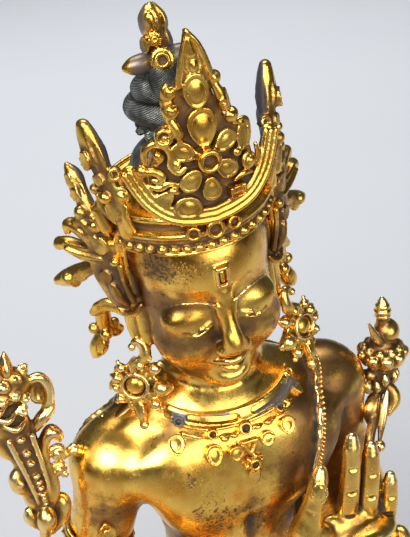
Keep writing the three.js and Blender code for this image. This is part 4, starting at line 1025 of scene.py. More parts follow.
def model_finial():
    """The jewel on the hair knot: dark petals round a gilt bud, over two open settings."""
    clay = Clay((-3.4, -2.8, 61.4), (3.4, 4.4, 67.8), 0.085)
    clay.limb([[0, 0.7, 62.2], [0, 0.6, 63.4], [0, 0.5, 65.2]], [0.85, 0.95, 0.6], 0.1)
    for turn in (0, 90, 180):
        a = math.radians(turn)
        away = np.array([math.cos(a), math.sin(a), 0.0])
        start = np.array([0, 0.5, 63.3]) + away * 0.4
        reach = 1.95 if turn != 90 else 1.7
        rows = [start, start + away * reach * 0.35, start + away * reach * 0.7, start + away * reach]
        clay.limb(rows, [0.55, 0.68, 0.6, 0.28], 0.08)
        for g in range(12):
            b = g * math.pi / 6
            side = np.cross(away, (0, 0, 1)) * math.cos(b) + np.array([0, 0, 1]) * math.sin(b)
            clay.blob(start + away * 0.3 + side * 0.62, 0.13, 0.04)
    setting = np.array([-0.2, -0.75, 63.8])
    axes = facing_axes((-0.3, -1, 0.3))
    clay.oval(setting - axes[2] * 0.1, axes[2], 0.72, 0.72, lambda off, _, n: np.maximum(off, np.abs(n) - 0.25), 0.08, axes[1])
    clay.setting(setting + axes[2] * 0.25, axes[2], 0.5, 0.26, 0.6)
    for g in range(18):
        b = g * math.pi / 9
        spoke = axes[0] * math.cos(b) + axes[1] * math.sin(b)
        clay.limb([setting + spoke * 0.6 + axes[2] * 0.1, setting + spoke * 0.78], [0.085, 0.085], 0.03, steps=1)
    flower = np.array([-0.36, -0.4, 65.05])
    axes = facing_axes((-0.3, -1, 0.35))
    clay.setting(flower + axes[2] * 0.2, axes[2], 0.25, 0.12, 0.5)
    for g in range(8):
        b = g * math.pi / 4
        clay.blob(flower + axes[0] * 0.36 * math.cos(b) + axes[1] * 0.36 * math.sin(b) + axes[2] * 0.05, 0.14, 0.03)
    clay.cabochon([-0.92, 0.0, 64.7], (-0.9, -0.5, 0.2), 0.34, 0.5)
    clay.cabochon([0.6, 0.0, 64.75], (0.8, -0.5, 0.2), 0.3, 0.5)
    clay.limb([[-0.1, 0.4, 64.9], [-0.12, 0.35, 66.1], [-0.12, 0.35, 67.1]], [0.5, 0.6, 0.16], 0.06)
    clay.blob([-0.42, -0.2, 66.2], (0.38, 0.3, 0.64), 0.03)
    clay.ring([-0.42, -0.22, 66.2], (-0.35, -0.94, 0.15), 0.44, 0.09, 0.04, 0.76)
    for turn in (-20, 25, 90, 155, 200):
        a = math.radians(turn)
        away = np.array([math.cos(a), math.sin(a), 0])
        base = np.array([-0.1, 0.4, 64.9])
        petal = [base + away * 0.5, base + away * 0.76 + [0, 0, 0.7], base + away * 0.7 + [0, 0, 1.45], base + away * 0.25 + [0, 0, 2.15]]
        side = np.cross(away, (0, 0, 1))
        clay.limb(petal, [[0.36, 0.14], [0.44, 0.14], [0.36, 0.12], [0.1, 0.08]], 0.04, wide=side)
        clay.limb([p + away * 0.1 for p in petal], [0.06, 0.09, 0.08, 0.05], 0.03)
    return clay


# Jewellery on the body. Each place is moved onto the modelled body from in front.
def on_body(body, points, out=0.0):
    """Points moved along Y onto the body, and how the body faces there."""
    start = np.array(points, float)
    start[:, 1] -= 4.0
    found = body.surface(start, (0, 1, 0))
    facing = body.slope(found)
    return found + facing * out, facing


NECKLACE_SETTINGS = [  # place, radius
    ([-4.5, -3.0, 34.3], 0.4),
    ([-2.5, -4.05, 33.3], 0.42),
    ([0.2, -5.0, 33.0], 0.54),
    ([3.3, -3.9, 33.6], 0.4),
    ([5.0, -2.8, 35.0], 0.36),
]
NECKLACE_DROPS = [  # place, half width, half height
    ([-5.2, -3.2, 33.2], 0.56, 0.74),
    ([-2.7, -4.4, 32.0], 0.62, 0.8),
    ([-0.9, -5.0, 31.55], 0.56, 0.56),
    ([1.8, -4.6, 31.95], 0.52, 0.56),
    ([3.6, -4.3, 32.4], 0.56, 0.64),
    ([5.4, -3.0, 34.1], 0.34, 0.56),
]


def neck_line(angle, radius, z):
    return [radius * 1.05 * math.sin(angle) + 0.1, 0.5 - radius * math.cos(angle), z]


def model_collar(body):
    clay = Clay((-6.8, -7.4, 27.2), (7.0, 3.8, 37.4), 0.095)

    def row(angles, heights, out):
        raw = [neck_line(a, 5.0, h) for a, h in zip(angles, heights)]
        return on_body(body, raw, out)[0]

    angles = np.radians(np.linspace(-74, 80, 45))
    fall = lambda a, low, high: high - (high - low) * np.maximum(np.cos(a), 0) ** 1.6
    middle = row(angles, fall(angles, 33.95, 35.1), 0.1)
    clay.limb(middle, [[0.66, 0.26]] * 2, 0.08, wide=[0, 0.3, 1], steps=1)
    upper = row(angles, fall(angles, 34.5, 35.5), 0.16)
    lower = row(angles, fall(angles, 33.4, 34.65), 0.18)
    clay.limb(upper, [0.13] * 2, 0.08, steps=1)
    clay.limb(lower, [0.17] * 2, 0.08, steps=1)
    deep = row(angles, fall(angles, 33.98, 35.1), 0.36)
    for first, last in ((8, 21), (25, 38)):
        clay.limb(deep[first:last], [[0.27, 0.5]] * 2, 0.03, wide=[0, 0.25, 1], steps=1, cut=True)
    second = row(angles[3:-3], fall(angles[3:-3], 32.85, 34.2), 0.12)
    for first in range(0, len(second) - 3, 4):
        clay.limb(second[first:first + 4], [0.13, 0.2, 0.2, 0.13], 0.05, steps=1)
    for place, radius in NECKLACE_SETTINGS:
        spot, facing = on_body(body, [place], 0.28)
        clay.setting(spot[0], facing[0], radius, 0.34, 0.55)
    for place, half_width, half_height in NECKLACE_DROPS:
        spot, facing = on_body(body, [place], 0.2)
        clay.cabochon(spot[0], facing[0], half_width, half_height, point=-0.2)
    for place in ([-1.5, -5, 32.75], [-0.7, -5, 32.75], [1.3, -5, 32.85], [2.2, -5, 32.95], [4.2, -4, 33.7]):
        spot, _ = on_body(body, [place], 0.12)
        clay.blob(spot[0], (0.34, 0.24, 0.24), 0.06)
    apex, left, right = on_body(body, [[0.35, -5, 31.1], [-0.25, -5, 32.1], [0.95, -5, 32.1]], 0.2)[0]
    clay.limb([apex, left, right, apex], [0.18] * 2, 0.05, steps=1)
    spot, facing = on_body(body, [[0.45, -5.8, 30.3]], 0.24)
    clay.setting(spot[0], facing[0], 0.5, 0.34, 0.55)
    for g in range(6):
        axes = facing_axes(facing[0])
        b = g * 2 * math.pi / 6 + 0.3
        clay.blob(spot[0] + axes[0] * 0.62 * math.cos(b) + axes[1] * 0.62 * math.sin(b), 0.26, 0.06)
    drop, facing = on_body(body, [[0.45, -5.8, 29.1]], 0.16)
    clay.cabochon(drop[0], facing[0], 0.4, 0.62, point=-0.3)
    return clay


def model_border(body):
    """The shawl's border: a ridge and a row of small beads beside it."""
    clay = Clay((3.6, -7.6, 18.6), (9.6, 1.4, 37.2), 0.085)
    run = smooth(SHAWL_EDGE, 12)
    line = on_body(body, run + [0.1, 0, 0.05], 0.05)[0]
    clay.limb(line, [0.19] * 2, 0.06, steps=1)
    length = np.concatenate([[0], np.cumsum(np.linalg.norm(np.diff(run, axis=0), axis=1))])
    stations = np.arange(0, length[-1], 0.36)
    row = np.stack([np.interp(stations, length, run[:, k]) for k in range(3)], 1)
    row = on_body(body, row + [0.52, 0, 0.05], 0.06)[0]
    for place in row:
        clay.blob(place, 0.14, 0.03)
    return clay


def model_armlets():
    """Armlets with a leaf, and wrist rings."""
    clay = Clay((-18.0, -10.4, 9.6), (15.4, 4.2, 30.2), 0.14)
    bangles = [
        ([-11.1, 0.3, 24.3], [-11.35, 0.4, 23.5], 2.65),
        ([-15.0, -7.3, 12.8], [-15.15, -8.2, 12.1], 1.5),
        ([10.25, -5.7, 19.2], [9.85, -6.2, 19.6], 1.5),
    ]
    for start, end, radius in bangles:
        start, end = np.array(start, float), np.array(end, float)
        axis = unit(end - start)
        for share, thick in ((0, 0.2), (0.5, 0.28), (1, 0.2)):
            clay.ring(start + (end - start) * share, axis, radius, thick, 0.1, up=(1, 0.3, 0.2))
        a, b, _ = facing_axes(axis, (1, 0.3, 0.2))
        for i in range(18):
            turn = i * math.pi / 9
            place = (start + end) / 2 + (a * math.cos(turn) + b * math.sin(turn)) * (radius + 0.22)
            clay.blob(place, 0.2, 0.06)
    facing = (-0.1, -1, 0.15)
    leaf = np.array([-11.2, -2.5, 25.3])
    clay.cabochon(leaf, facing, 0.55, 0.95, point=0.2)
    clay.setting(leaf + [0.05, -0.15, -1.35], facing, 0.55, 0.35)
    for s in (-1, 1):
        spiral(clay, leaf + [s * 0.85, 0.1, -0.7], facing, 0.5, 0.18, 0.5 if s > 0 else 0, 0.9, s)
        clay.limb([leaf + [s * 0.7, 0.1, 0.2], leaf + [s * 0.5, 0, 1.0], leaf + [0, 0, 1.6]], [0.2, 0.2, 0.14], 0.08)
    return clay


def model_girdle(body):
    """A belt with bosses, and a row of beads along it."""
    clay = Clay((-9.6, -8.2, 4.6), (9.6, -1.0, 14.0), 0.13)
    angles = np.radians(np.linspace(-62, 62, 25))
    raw = [[8.6 * math.sin(a), -5, 11.2 - 1.4 * math.cos(a)] for a in angles]
    belt = on_body(body, raw, 0.1)[0]
    clay.limb(belt, [[0.5, 0.22]] * 2, 0.1, wide=[0, 0.2, 1], steps=1)
    for lift in (-0.5, 0.5):
        clay.limb(belt + [0, -0.1, lift], [0.17] * 2, 0.06, steps=1)
    for i in range(2, 23, 4):
        spot, facing = on_body(body, [raw[i]], 0.3)
        clay.cabochon(spot[0], facing[0], 0.6, 0.6)
    for i in range(0, 24, 2):
        clay.blob(belt[i] + [0, -0.2, 0], 0.22, 0.05)
    return clay


def model_locks():
    """A band with round jewels, which lies over the back edge of the right shoulder."""
    clay = Clay((-13.4, -2.4, 31.0), (-3.0, 3.6, 37.4), 0.1)
    for back, lift in ((-0.2, 0.0), (0.7, 0.05)):
        path = [[-4.2, 0.6 + back, 35.8], [-6.1, 0.6 + back, 35.1], [-8.0, 0.3 + back, 34.2 + lift], [-9.8, 0.1 + back * 0.8, 33.1 + lift], [-11.3, 0.0 + back * 0.5, 31.9]]
        clay.limb(path, [0.55, 0.65, 0.65, 0.55, 0.4], 0.25)
    for place, size in (([-7.7, 1.3, 34.9], 0.5), ([-9.3, 0.9, 34.0], 0.42), ([-9.9, -0.4, 33.4], 0.4), ([-11.2, 0.2, 32.4], 0.4)):
        clay.blob(place, size, 0.1)
    return clay


# The lotus sprays.
def lotus_cup(clay, base, axis, size, count):
    """Rows of out-turned petals round the top of a lotus, with a plain ring for a rim."""
    up = unit(axis)
    out = unit(np.cross(np.cross(up, (0, 1, 0)), up))
    side = np.cross(up, out)
    base = np.asarray(base, float)

    def petal(turn, start, reach, lift, width):
        away = out * math.cos(turn) + side * math.sin(turn)
        rows = [
            base + away * start + up * (lift - 0.5) * size,
            base + away * (start + reach) / 2 * 1.25 + up * (lift - 0.35) * size,
            base + away * reach + up * (lift + 0.05) * size,
            base + away * (reach + 0.12 * size) + up * (lift + 0.22) * size,
        ]
        across = np.cross(away, up)
        clay.limb(rows, np.array([[0.5, 0.3], [1.0, 0.32], [0.8, 0.26], [0.3, 0.2]]) * width, 0.07, wide=across)

    clay.limb([base - up * 0.9 * size, base - up * 0.2 * size], [0.45 * size, 0.72 * size], 0.15, steps=1)
    for i in range(count):
        turn = 2 * math.pi * i / count
        petal(turn + math.pi / count, 0.35 * size, 1.0 * size, -0.32, 0.42 * size)
        petal(turn, 0.5 * size, 0.95 * size, 0.05, 0.42 * size)
    clay.ring(base + up * 0.22 * size, up, 0.72 * size, 0.1 * size, 0.06, up=out)


def stalk(clay, points, radius):
    clay.limb(points, [radius] * 2, 0.15)


def hooked_leaf(clay, start, bend, tip, end, width):
    """A leaf that grows from a stalk and rolls over at its tip."""
    clay.limb([start, bend, tip, end], np.array([[0.25, 0.3], [0.8, 0.34], [0.75, 0.34], [0.35, 0.3]]) * width, 0.12, wide=[0.1, 1, 0.1])
    clay.blob(end, 0.42 * width, 0.1)


def model_right_spray():
    """The lotus beside her right shoulder, on a stalk from the hand on the knee."""
    clay = Clay((-20.2, -12.4, 9.0), (-10.8, 2.0, 43.6), 0.13)
    calyx = np.array([-15.3, -1.0, 28.0])
    stalk(clay, [[-15.4, -10.8, 10.3], [-17.4, -7.6, 12.6], [-18.0, -3.4, 18], [-16.3, -1.2, 23.6], calyx], 0.42)
    hooked_leaf(clay, [-18.0, -4.4, 16.6], [-18.9, -4.6, 18.6], [-19.4, -4.8, 20.0], [-18.9, -4.9, 20.8], 1.0)
    hooked_leaf(clay, [-16.7, -1.4, 22.6], [-15.2, -1.4, 24.0], [-14.4, -1.4, 25.0], [-14.9, -1.5, 25.8], 0.9)
    clay.limb([[-15.4, -1.2, 27.0], [-15.35, -1.5, 28.4], [-15.3, -1.3, 29.3]], [0.45, 0.8, 0.4], 0.12)
    clay.limb([[-15.0, -0.8, 26.6], [-14.1, -0.8, 27.7], [-13.85, -0.8, 28.9], [-14.2, -0.8, 29.7]], [0.35, 0.62, 0.68, 0.35], 0.12)
    clay.limb([[-15.8, -0.8, 27.4], [-16.4, -0.8, 28.4], [-16.5, -0.9, 29.2]], [0.4, 0.55, 0.3], 0.12)
    clay.limb(
        [calyx, [-15.3, -0.8, 30.2], [-15.7, -0.8, 33.2], [-16.2, -0.8, 35.8], [-17.0, -0.8, 38.0]],
        [[0.5, 0.5], [0.8, 0.65], [1.1, 0.8], [1.4, 0.9], [1.8, 1.0]],
        0.15,
        wide=[1, 0, 0.1],
    )
    spine = smooth([[-15.2, -1.45, 29.8], [-15.3, -1.6, 31.2], [-15.65, -1.75, 33.6], [-16.1, -1.8, 36.2]], 8)
    for share in (0.04, 0.12, 0.2, 0.29, 0.38, 0.48, 0.58, 0.72, 0.87, 1.0):
        place = spine[int(share * (len(spine) - 1))]
        clay.blob(place, (0.26 + 0.1 * share, 0.28, 0.16 + 0.1 * share), 0.04)
    for s in (-1, 1):
        vein = [p + [s * (0.45 + 0.4 * i / len(spine)), 0.1, 0] for i, p in enumerate(spine)]
        clay.limb(vein, [0.16, 0.24], 0.08, steps=1)
    for x, z in ((-16.3, 37.4), (-16.8, 38.3), (-17.4, 39.1)):
        lip = [[x - 0.8, -1.75, z + 0.35], [x, -2.15, z], [x + 0.75, -1.8, z + 0.35]]
        clay.limb(lip, [0.16, 0.26, 0.16], 0.06)
    clay.blob([-16.5, -0.8, 40.3], (2.0, 1.25, 1.6), 0.2)
    rings = [(-15.2, -1.6, 39.6), (-15.9, -2.0, 40.2), (-15.0, -1.3, 40.7), (-15.7, -1.65, 41.2), (-16.6, -1.95, 41.0), (-16.9, -2.0, 40.1), (-15.5, -1.8, 38.7), (-14.9, -1.1, 41.4)]
    for i, place in enumerate(rings):
        spiral(clay, place, (0.1, -1, 0.4), 0.42, 0.17, i * 0.3, 0.9, 1 if i % 2 else -1, 1.3)
    clay.limb([[-16.3, -1.0, 40.9], [-16.1, -1.05, 42.0], [-15.95, -1.0, 43.1]], [0.62, 0.56, 0.14], 0.1)
    clay.limb([[-16.3, -1.5, 41.2], [-16.1, -1.6, 42.0], [-16.0, -1.35, 42.8]], [0.2, 0.26, 0.1], 0.05)
    clay.limb([[-17.4, -0.9, 40.8], [-17.7, -0.9, 41.8], [-17.6, -0.9, 42.5]], [0.75, 0.65, 0.3], 0.15)
    clay.blob([-14.1, -0.7, 39.3], (0.8, 0.4, 1.3), 0.15)
    clay.blob([-14.15, -1.4, 39.2], (0.42, 0.6, 0.85), 0.1, cut=True)
    rim = [[-14.85, -1.0, 40.0], [-14.45, -1.15, 40.5], [-13.9, -1.2, 40.55], [-13.5, -1.2, 40.0], [-13.35, -1.2, 39.2], [-13.5, -1.15, 38.4], [-13.95, -1.0, 37.7]]
    clay.limb(rim, [0.24, 0.34, 0.38, 0.38, 0.36, 0.34, 0.25], 0.08)
    clay.limb([[-14.8, -1.0, 36.4], [-14.2, -1.1, 37.1], [-13.6, -1.15, 37.6], [-13.2, -1.15, 38.3]], [0.4, 0.52, 0.42, 0.14], 0.1)
    roll = [[-14.5, -1.1, 32.4], [-14.6, -1.1, 34.0], [-14.3, -1.15, 35.2], [-13.8, -1.2, 35.8], [-13.4, -1.2, 35.5], [-13.25, -1.15, 35.0]]
    clay.limb(roll, [[0.3, 0.34], [0.36, 0.4], [0.5, 0.45], [0.62, 0.5], [0.55, 0.45], [0.34, 0.34]], 0.1, wide=[0, 1, 0])
    curl_plane = (0.15, -1, 0.1)
    spiral(clay, [-13.6, -1.1, 33.7], curl_plane, 0.6, 0.27, 0.4, 0.85, -1, 1.3)
    spiral(clay, [-13.7, -1.05, 32.2], curl_plane, 0.55, 0.27, 0.42, 0.85, -1, 1.3)
    clay.blob([-13.3, -1.2, 31.7], 0.32, 0.06)
    clay.limb([[-14.8, -1.0, 29.0], [-14.35, -1.1, 30.3], [-14.25, -1.1, 31.6], [-14.6, -1.0, 33.0]], [0.34, 0.46, 0.4, 0.34], 0.1)
    clay.limb([[-16.0, -0.9, 30.8], [-16.7, -0.9, 31.6], [-16.9, -1.0, 32.5], [-16.6, -1.0, 33.2]], [0.34, 0.62, 0.58, 0.3], 0.12)
    clay.limb([[-16.4, -0.9, 34.2], [-17.2, -0.9, 35.0], [-17.6, -1.0, 36.2], [-17.3, -1.0, 36.9]], [0.34, 0.55, 0.5, 0.28], 0.12)
    clay.limb([[-15.6, -0.9, 29.2], [-16.2, -0.9, 30.0], [-16.5, -1.0, 30.9]], [0.34, 0.42, 0.2], 0.12)
    clay.blob([-16.7, -1.4, 32.2], 0.34, 0.06)
    clay.limb([[-13.2, -1.0, 33.2], [-12.6, -0.7, 33.2], [-11.6, -0.2, 32.6]], [0.34, 0.36, 0.55], 0.15)
    clay.blob([-12.2, -0.6, 33.2], 0.5, 0.08)
    return clay


def model_left_spray():
    """The lotus beside her left shoulder, on a stalk held by the raised hand."""
    clay = Clay((8.6, -9.4, 14.6), (18.2, 2.2, 39.4), 0.11)
    calyx = np.array([14.3, -0.8, 30.2])
    grip = [[11.6, -8.0, 15.4], [11.3, -8.0, 18.2], [11.1, -6.2, 21.6], [11.0, -4.6, 25.0], [11.6, -3.6, 27.0], [13.0, -2.2, 28.6], calyx]
    stalk(clay, grip, 0.42)
    flat = [0.9, -0.3, 0.2]
    clay.limb([[14.0, -1.2, 29.9], [13.2, -1.7, 29.7], [12.7, -2.1, 29.0], [12.7, -2.2, 28.0], [12.9, -2.2, 27.4]], [[0.35, 0.3], [0.55, 0.34], [0.62, 0.4], [0.55, 0.4], [0.2, 0.2]], 0.1, wide=flat)
    clay.blob([12.75, -2.55, 27.95], 0.3, 0.05)
    clay.limb([[14.3, -1.0, 30.6], [15.0, -1.4, 29.8], [15.1, -1.7, 28.9], [14.5, -2.0, 28.0]], [[0.4, 0.4], [0.62, 0.5], [0.66, 0.5], [0.3, 0.3]], 0.1, wide=flat)
    clay.limb([[14.4, -1.9, 30.2], [13.9, -2.3, 29.0], [13.2, -3.0, 27.9], [12.5, -3.8, 27.1]], [[0.16, 0.16], [0.34, 0.2], [0.34, 0.2], [0.18, 0.18]], 0.06, wide=flat)
    clay.blob([12.2, -4.3, 26.9], 0.5, 0.08)
    clay.limb([calyx, [14.5, -0.7, 31.2], [14.75, -0.65, 32.4]], [0.7, 1.0, 1.3], 0.2)
    clay.blob([13.4, -1.0, 31.6], 0.55, 0.1)
    clay.blob([12.9, -1.3, 30.7], (0.42, 0.42, 0.6), 0.1)
    for x, y, z in ((14.2, -1.9, 31.3), (15.2, -1.7, 31.2), (15.8, -1.0, 31.0), (13.6, -1.6, 30.6)):
        clay.limb([[x, y, z + 0.5], [x, y - 0.1, z], [x - 0.1, y, z - 0.5]], [0.2, 0.32, 0.12], 0.06)
    cup = np.array([14.75, -0.6, 33.25])
    for i in range(9):
        turn = 2 * math.pi * i / 9 + 0.2
        away = np.array([math.cos(turn), math.sin(turn), 0])
        petal = [cup + away * 0.9 + [0, 0, -0.9], cup + away * 1.5 + [0, 0, -0.5], cup + away * 1.8 + [0, 0, 0.05]]
        clay.limb(petal, [[0.4, 0.3], [0.66, 0.4], [0.5, 0.42]], 0.06, wide=np.cross(away, (0, 0, 1)))
        turned = facing_axes(away + [0, 0, 0.6])
        clay.blob(cup + away * 1.8 + [0, 0, 0.1], (0.58, 0.46, 0.42), 0.05, axes=turned)
        upper = away @ around((0, 0, 1), math.pi / 9)
        clay.limb([cup + upper * 1.0, cup + upper * 1.4 + [0, 0, 0.5]], [0.45, 0.42], 0.07, steps=1)
    clay.limb([cup + [0, 0, -0.3], cup + [0, 0, 0.5]], [1.45, 1.3], 0.12, steps=1)
    clay.ring(cup + [0, 0, 0.8], (0, 0, 1), 1.15, 0.2, 0.06, up=(1, 0, 0))
    bulb = np.array([15.15, -0.6, 35.2])
    clay.blob(bulb, (1.1, 1.1, 1.1), 0.08)
    clay.limb([bulb + [-0.6, -0.5, -0.9], bulb + [-1.35, -0.6, 0.1], bulb + [-1.75, -0.65, 0.9], bulb + [-2.15, -0.75, 1.8]], [0.45, 0.4, 0.25, 0.08], 0.06)
    clay.limb([bulb + [-0.3, 0, 0.8], bulb + [-0.3, 0, 1.6]], [0.6, 0.5], 0.08, steps=1)
    top = np.array([14.8, -0.6, 37.35])
    clay.limb([top + [0, 0, -0.6], top, top + [0, 0, 0.6], top + [-0.05, 0, 1.15]], [0.55, 0.62, 0.42, 0.1], 0.08)
    for lift, radius in ((-0.55, 0.55), (-0.1, 0.6), (0.35, 0.48)):
        clay.ring(top + [0, 0, lift], (0, 0, 1), radius, 0.14, 0.05, up=(1, 0, 0))
    clay.limb([[13.7, -0.7, 31.4], [12.8, -0.4, 31.6], [11.8, 0, 31.6]], [0.42, 0.4, 0.5], 0.2)
    return clay


# From clay to pieces.
def smoothstep(value, low, high):
    t = np.clip((value - low) / (high - low), 0, 1)
    return t * t * (3 - 2 * t)


def in_metres(points):
    return np.asarray(points) * FINGER + SEAT


def make_piece(name, points, faces, node, material, fields):
    """A mesh object in metres, with a value of each field at each point."""
    data = bpy.data.meshes.new(name)
    data.vertices.add(len(points))
    data.vertices.foreach_set("co", np.asarray(points, np.float32).ravel())
    data.loops.add(faces.size)
    data.loops.foreach_set("vertex_index", faces.astype(np.int32).ravel())
    data.polygons.add(len(faces))
    data.polygons.foreach_set("loop_start", np.arange(0, faces.size, faces.shape[1], dtype=np.int32))
    data.update(calc_edges=True)
    data.validate()
    data.shade_smooth()
    for field, values in fields.items():
        layer = data.attributes.new(field, "FLOAT", "POINT")
        layer.data.foreach_set("value", np.asarray(values, np.float32))
    data.materials.append(material)
    made = bpy.data.objects.new(name, data)
    bpy.context.scene.collection.objects.link(made)
    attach(made, "root")
    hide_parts(node)
    return made


# Marks that brown the gilding on the head, partly real stains and pits, partly painted shade and dark reflections on
# the temples, cheeks, nose sides, jaw and neck; those below zero take the brown off the settings of the crown's front
# leaf.
HEAD_MARKS = [  # place, reach, browning for stains and painted shade, pits
    ([-3.9, -4.2, 51.0], 2.6, 0.75, 1.2),
    ([-2.4, -5.6, 50.8], 1.4, 0.25, 1.25),
    ([4.6, -3.4, 51.5], 1.8, 0.9, 1.1),
    ([-4.9, -1.6, 48.0], 2.8, 0.9, 0.4),
    ([5.2, -1.2, 48.0], 3.0, 0.95, 0.2),
    ([-4.1, -4.2, 44.8], 2.9, 1.05, 0.3),
    ([3.6, -4.3, 44.6], 2.6, 0.85, 0.3),
    ([-3.3, -2.8, 41.0], 2.8, 1.1, 0.2),
    ([3.3, -2.8, 41.0], 2.6, 0.95, 0.2),
    ([-1.5, -5.9, 44.8], 1.5, 1.1, 0.2),
    ([1.4, -5.9, 44.6], 1.3, 0.9, 0.2),
    ([-3.9, -4.6, 47.4], 1.9, 0.85, 0.6),
    ([3.2, -5.0, 46.9], 1.2, 0.4, 0.1),
    ([0.0, 0.5, 38.0], 3.6, 0.5, 0.6),
    ([-0.1, -6.3, 63.9], 1.1, -1.0, 0.0),
    ([0.0, -6.4, 61.5], 1.3, -1.0, 0.0),
    ([0.0, -6.4, 59.5], 1.0, -0.8, 0.0),
    ([-1.4, -6.4, 60.1], 0.8, -1.0, 0.0),
    ([1.3, -6.4, 60.1], 0.8, -1.0, 0.0),
    ([-1.2, -6.4, 58.1], 0.8, -1.0, 0.0),
    ([1.2, -6.4, 58.3], 0.8, -1.0, 0.0),
    ([0.0, -6.4, 57.2], 0.8, -1.0, 0.0),
]
# The same on the body: partly real stains and pits, partly painted shade, deepest on the chest under the raised hand,
# and on the arms, the back of the right shoulder, the lap and the back.
BODY_MARKS = [
    ([8.6, -3.5, 29.5], 6.0, 0.95, 0.1),
    ([9.5, 0.0, 35.0], 5.0, 1.0, 0.1),
    ([12.5, 0.0, 25.0], 6.0, 0.8, 0.1),
    ([7.0, -3.0, 20.0], 6.0, 1.0, 0.3),
    ([3.9, -4.9, 28.6], 2.4, 1.3, 0.8),
    ([4.3, -4.2, 23.2], 3.4, 1.3, 0.8),
    ([5.2, -4.2, 32.5], 2.6, 1.0, 0.3),
    ([0.6, -5.2, 30.2], 2.0, 0.6, 0.6),
    ([0.4, -5.0, 24.5], 2.8, 0.65, 1.0),
    ([-3.2, -5.1, 26.4], 2.8, 0.5, 1.25),
    ([-4.6, -5.0, 30.4], 1.2, 0.35, 1.2),
    ([-6.0, -2.0, 22.5], 3.4, 1.1, 0.5),
    ([-10.3, -2.2, 27.4], 3.0, 0.9, 0.7),
    ([-10.8, 0.0, 22.5], 4.5, 1.1, 0.6),
    ([-5.6, -3.6, 34.4], 2.0, 0.9, 0.5),
    ([-7.0, 1.0, 35.0], 2.6, 0.9, 0.4),
    ([0.0, -6.0, 12.0], 7.0, 0.6, 0.6),
    ([0.0, 5.0, 26.0], 7.0, 0.6, 0.5),
    ([0.0, -8.0, 3.0], 12.0, 0.35, 0.4),
]


def marked(points, marks):
    """How brown the gilding is at each point, for stains and painted shade together, and how pitted it is."""
    unbrowned, whole = np.ones(len(points)), np.ones(len(points))
    for place, reach, tarnish_and_shade, pits in marks:
        near = np.exp(-(((points - place) ** 2).sum(1)) / (0.7 * reach) ** 2)
        unbrowned = unbrowned * (1 - np.minimum(tarnish_and_shade, 1.3) * near / 1.3)
        whole = whole * (1 - np.minimum(pits, 1.3) * near / 1.3)
    return 1.3 * (1 - unbrowned), 1.3 * (1 - whole)


def cast(name, clay, material, on_head=False, bare=None, strand=None, mirror=None):
    """Clay as a piece of the figure. bare and strand are worked out from upright places. The
    piece is doubled on the right side where mirror says how far its copy is moved."""
    points, quads, near, broad = clay.meshed()
    facing = clay.slope(points)
    # The insides of empty settings count as hollow, so they are painted dark like the hollows: deposits and painted
    # shade.
    for centre, reach in clay.cups:
        inside = smoothstep(-np.linalg.norm(points - centre, axis=1), -1.3 * reach, -0.9 * reach)
        near = np.maximum(near, 0.9 * inside)
    fields = {"hollow": near, "shade": broad}
    fields["bare"] = bare(points, facing) if bare else np.zeros(len(points))
    if strand:
        fields["strand"] = strand(points)
    if mirror is not None:
        quads = np.vstack([quads, quads[:, ::-1] + len(points)])
        points = np.vstack([points, points * [-1, 1, 1] + mirror])
        fields = {key: np.concatenate([value, value]) for key, value in fields.items()}
    fields["tarnish_and_shade"], fields["pits"] = marked(points, HEAD_MARKS if on_head else BODY_MARKS)
    if on_head:
        points = on_neck(points)
    return make_piece(name, in_metres(points), quads, "figure", material, fields)


def bare_backs(points, facing):
    """The crown's backs, which were left without gilding."""
    away = points[:, :2] - [0, 0.6]
    away = away / (np.linalg.norm(away, axis=1, keepdims=True) + 1e-6)
    outward = (facing[:, :2] * away).sum(1)
    return smoothstep(-outward, 0.0, 0.45) * smoothstep(points[:, 2], 54.6, 55.6)


def slot_share(points, facing):
    """Where the two long slots of the collar lie, dark to the bottom."""
    angle = np.arctan2((points[:, 0] - 0.1) / 1.05, 0.5 - points[:, 1])
    level = np.where(angle < 0, 35.4, 35.15) - 1.12 * np.maximum(np.cos(angle), 0) ** 1.6
    inside = smoothstep(-np.abs(points[:, 2] - level), -0.36, -0.2)
    long_way = smoothstep(-np.abs(np.abs(angle - 0.05) - 0.62), -0.44, -0.38)
    return 0.95 * inside * long_way


def bare_finial(points, facing):
    bud = np.linalg.norm((points - [-0.1, -0.1, 66.2]) / [0.62, 0.7, 1.0], axis=1)
    settings = np.linalg.norm(points - [-0.3, -0.8, 63.8], axis=1)
    small = np.linalg.norm(points - [-0.35, -0.4, 65.0], axis=1)
    ends = np.abs(points[:, 0]) + np.maximum(points[:, 1], 0)
    gilt = smoothstep(-bud, -1.3, -0.9) + smoothstep(-settings, -1.25, -0.95)
    gilt = gilt + smoothstep(-small, -1.0, -0.7) + smoothstep(ends, 2.15, 2.4)
    return 0.85 * (1 - np.clip(gilt, 0, 1))


def hair_strands(points):
    x, y, z = points[:, 0], points[:, 1] - 0.9, points[:, 2]
    turn = np.abs(np.arctan2(x, -y))
    knot = z * 4.0 + np.sin(turn) * 3.0 + turn * 2.0
    cap = turn * 9.0 + z * 0.8
    share = smoothstep(z, 57.6, 58.4)
    return knot * share + cap * (1 - share)


# The base, as a relief over an oval: height is read in millimetres up its side.
BASE_HEIGHT = SEAT[2]
BASE_SIZE = [(high - low) / 2 for low, high in zip(*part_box("lotus_base"))][:2]
BASE_FOOT = 0.005
BASE_WAIST = 0.0225
BASE_PETALS = 16
BASE_COLUMNS = 672
BASE_PROFILE = [  # height, and step in from the foot's edge
    [0.0, 0.0008],
    [0.0008, 0.0],
    [0.0042, 0.0],
    [0.005, 0.0012],
    [0.0056, 0.0068],
    [0.0075, 0.006],
    [0.0146, 0.0075],
    [0.020, 0.014],
    [0.0225, 0.016],
    [0.025, 0.014],
    [0.0334, 0.009],
    [0.039, 0.008],
    [0.0402, 0.0086],
    [0.0410, 0.0070],
    [0.0446, 0.0066],
    [0.0455, 0.0072],
    [BASE_HEIGHT, 0.0085],
]


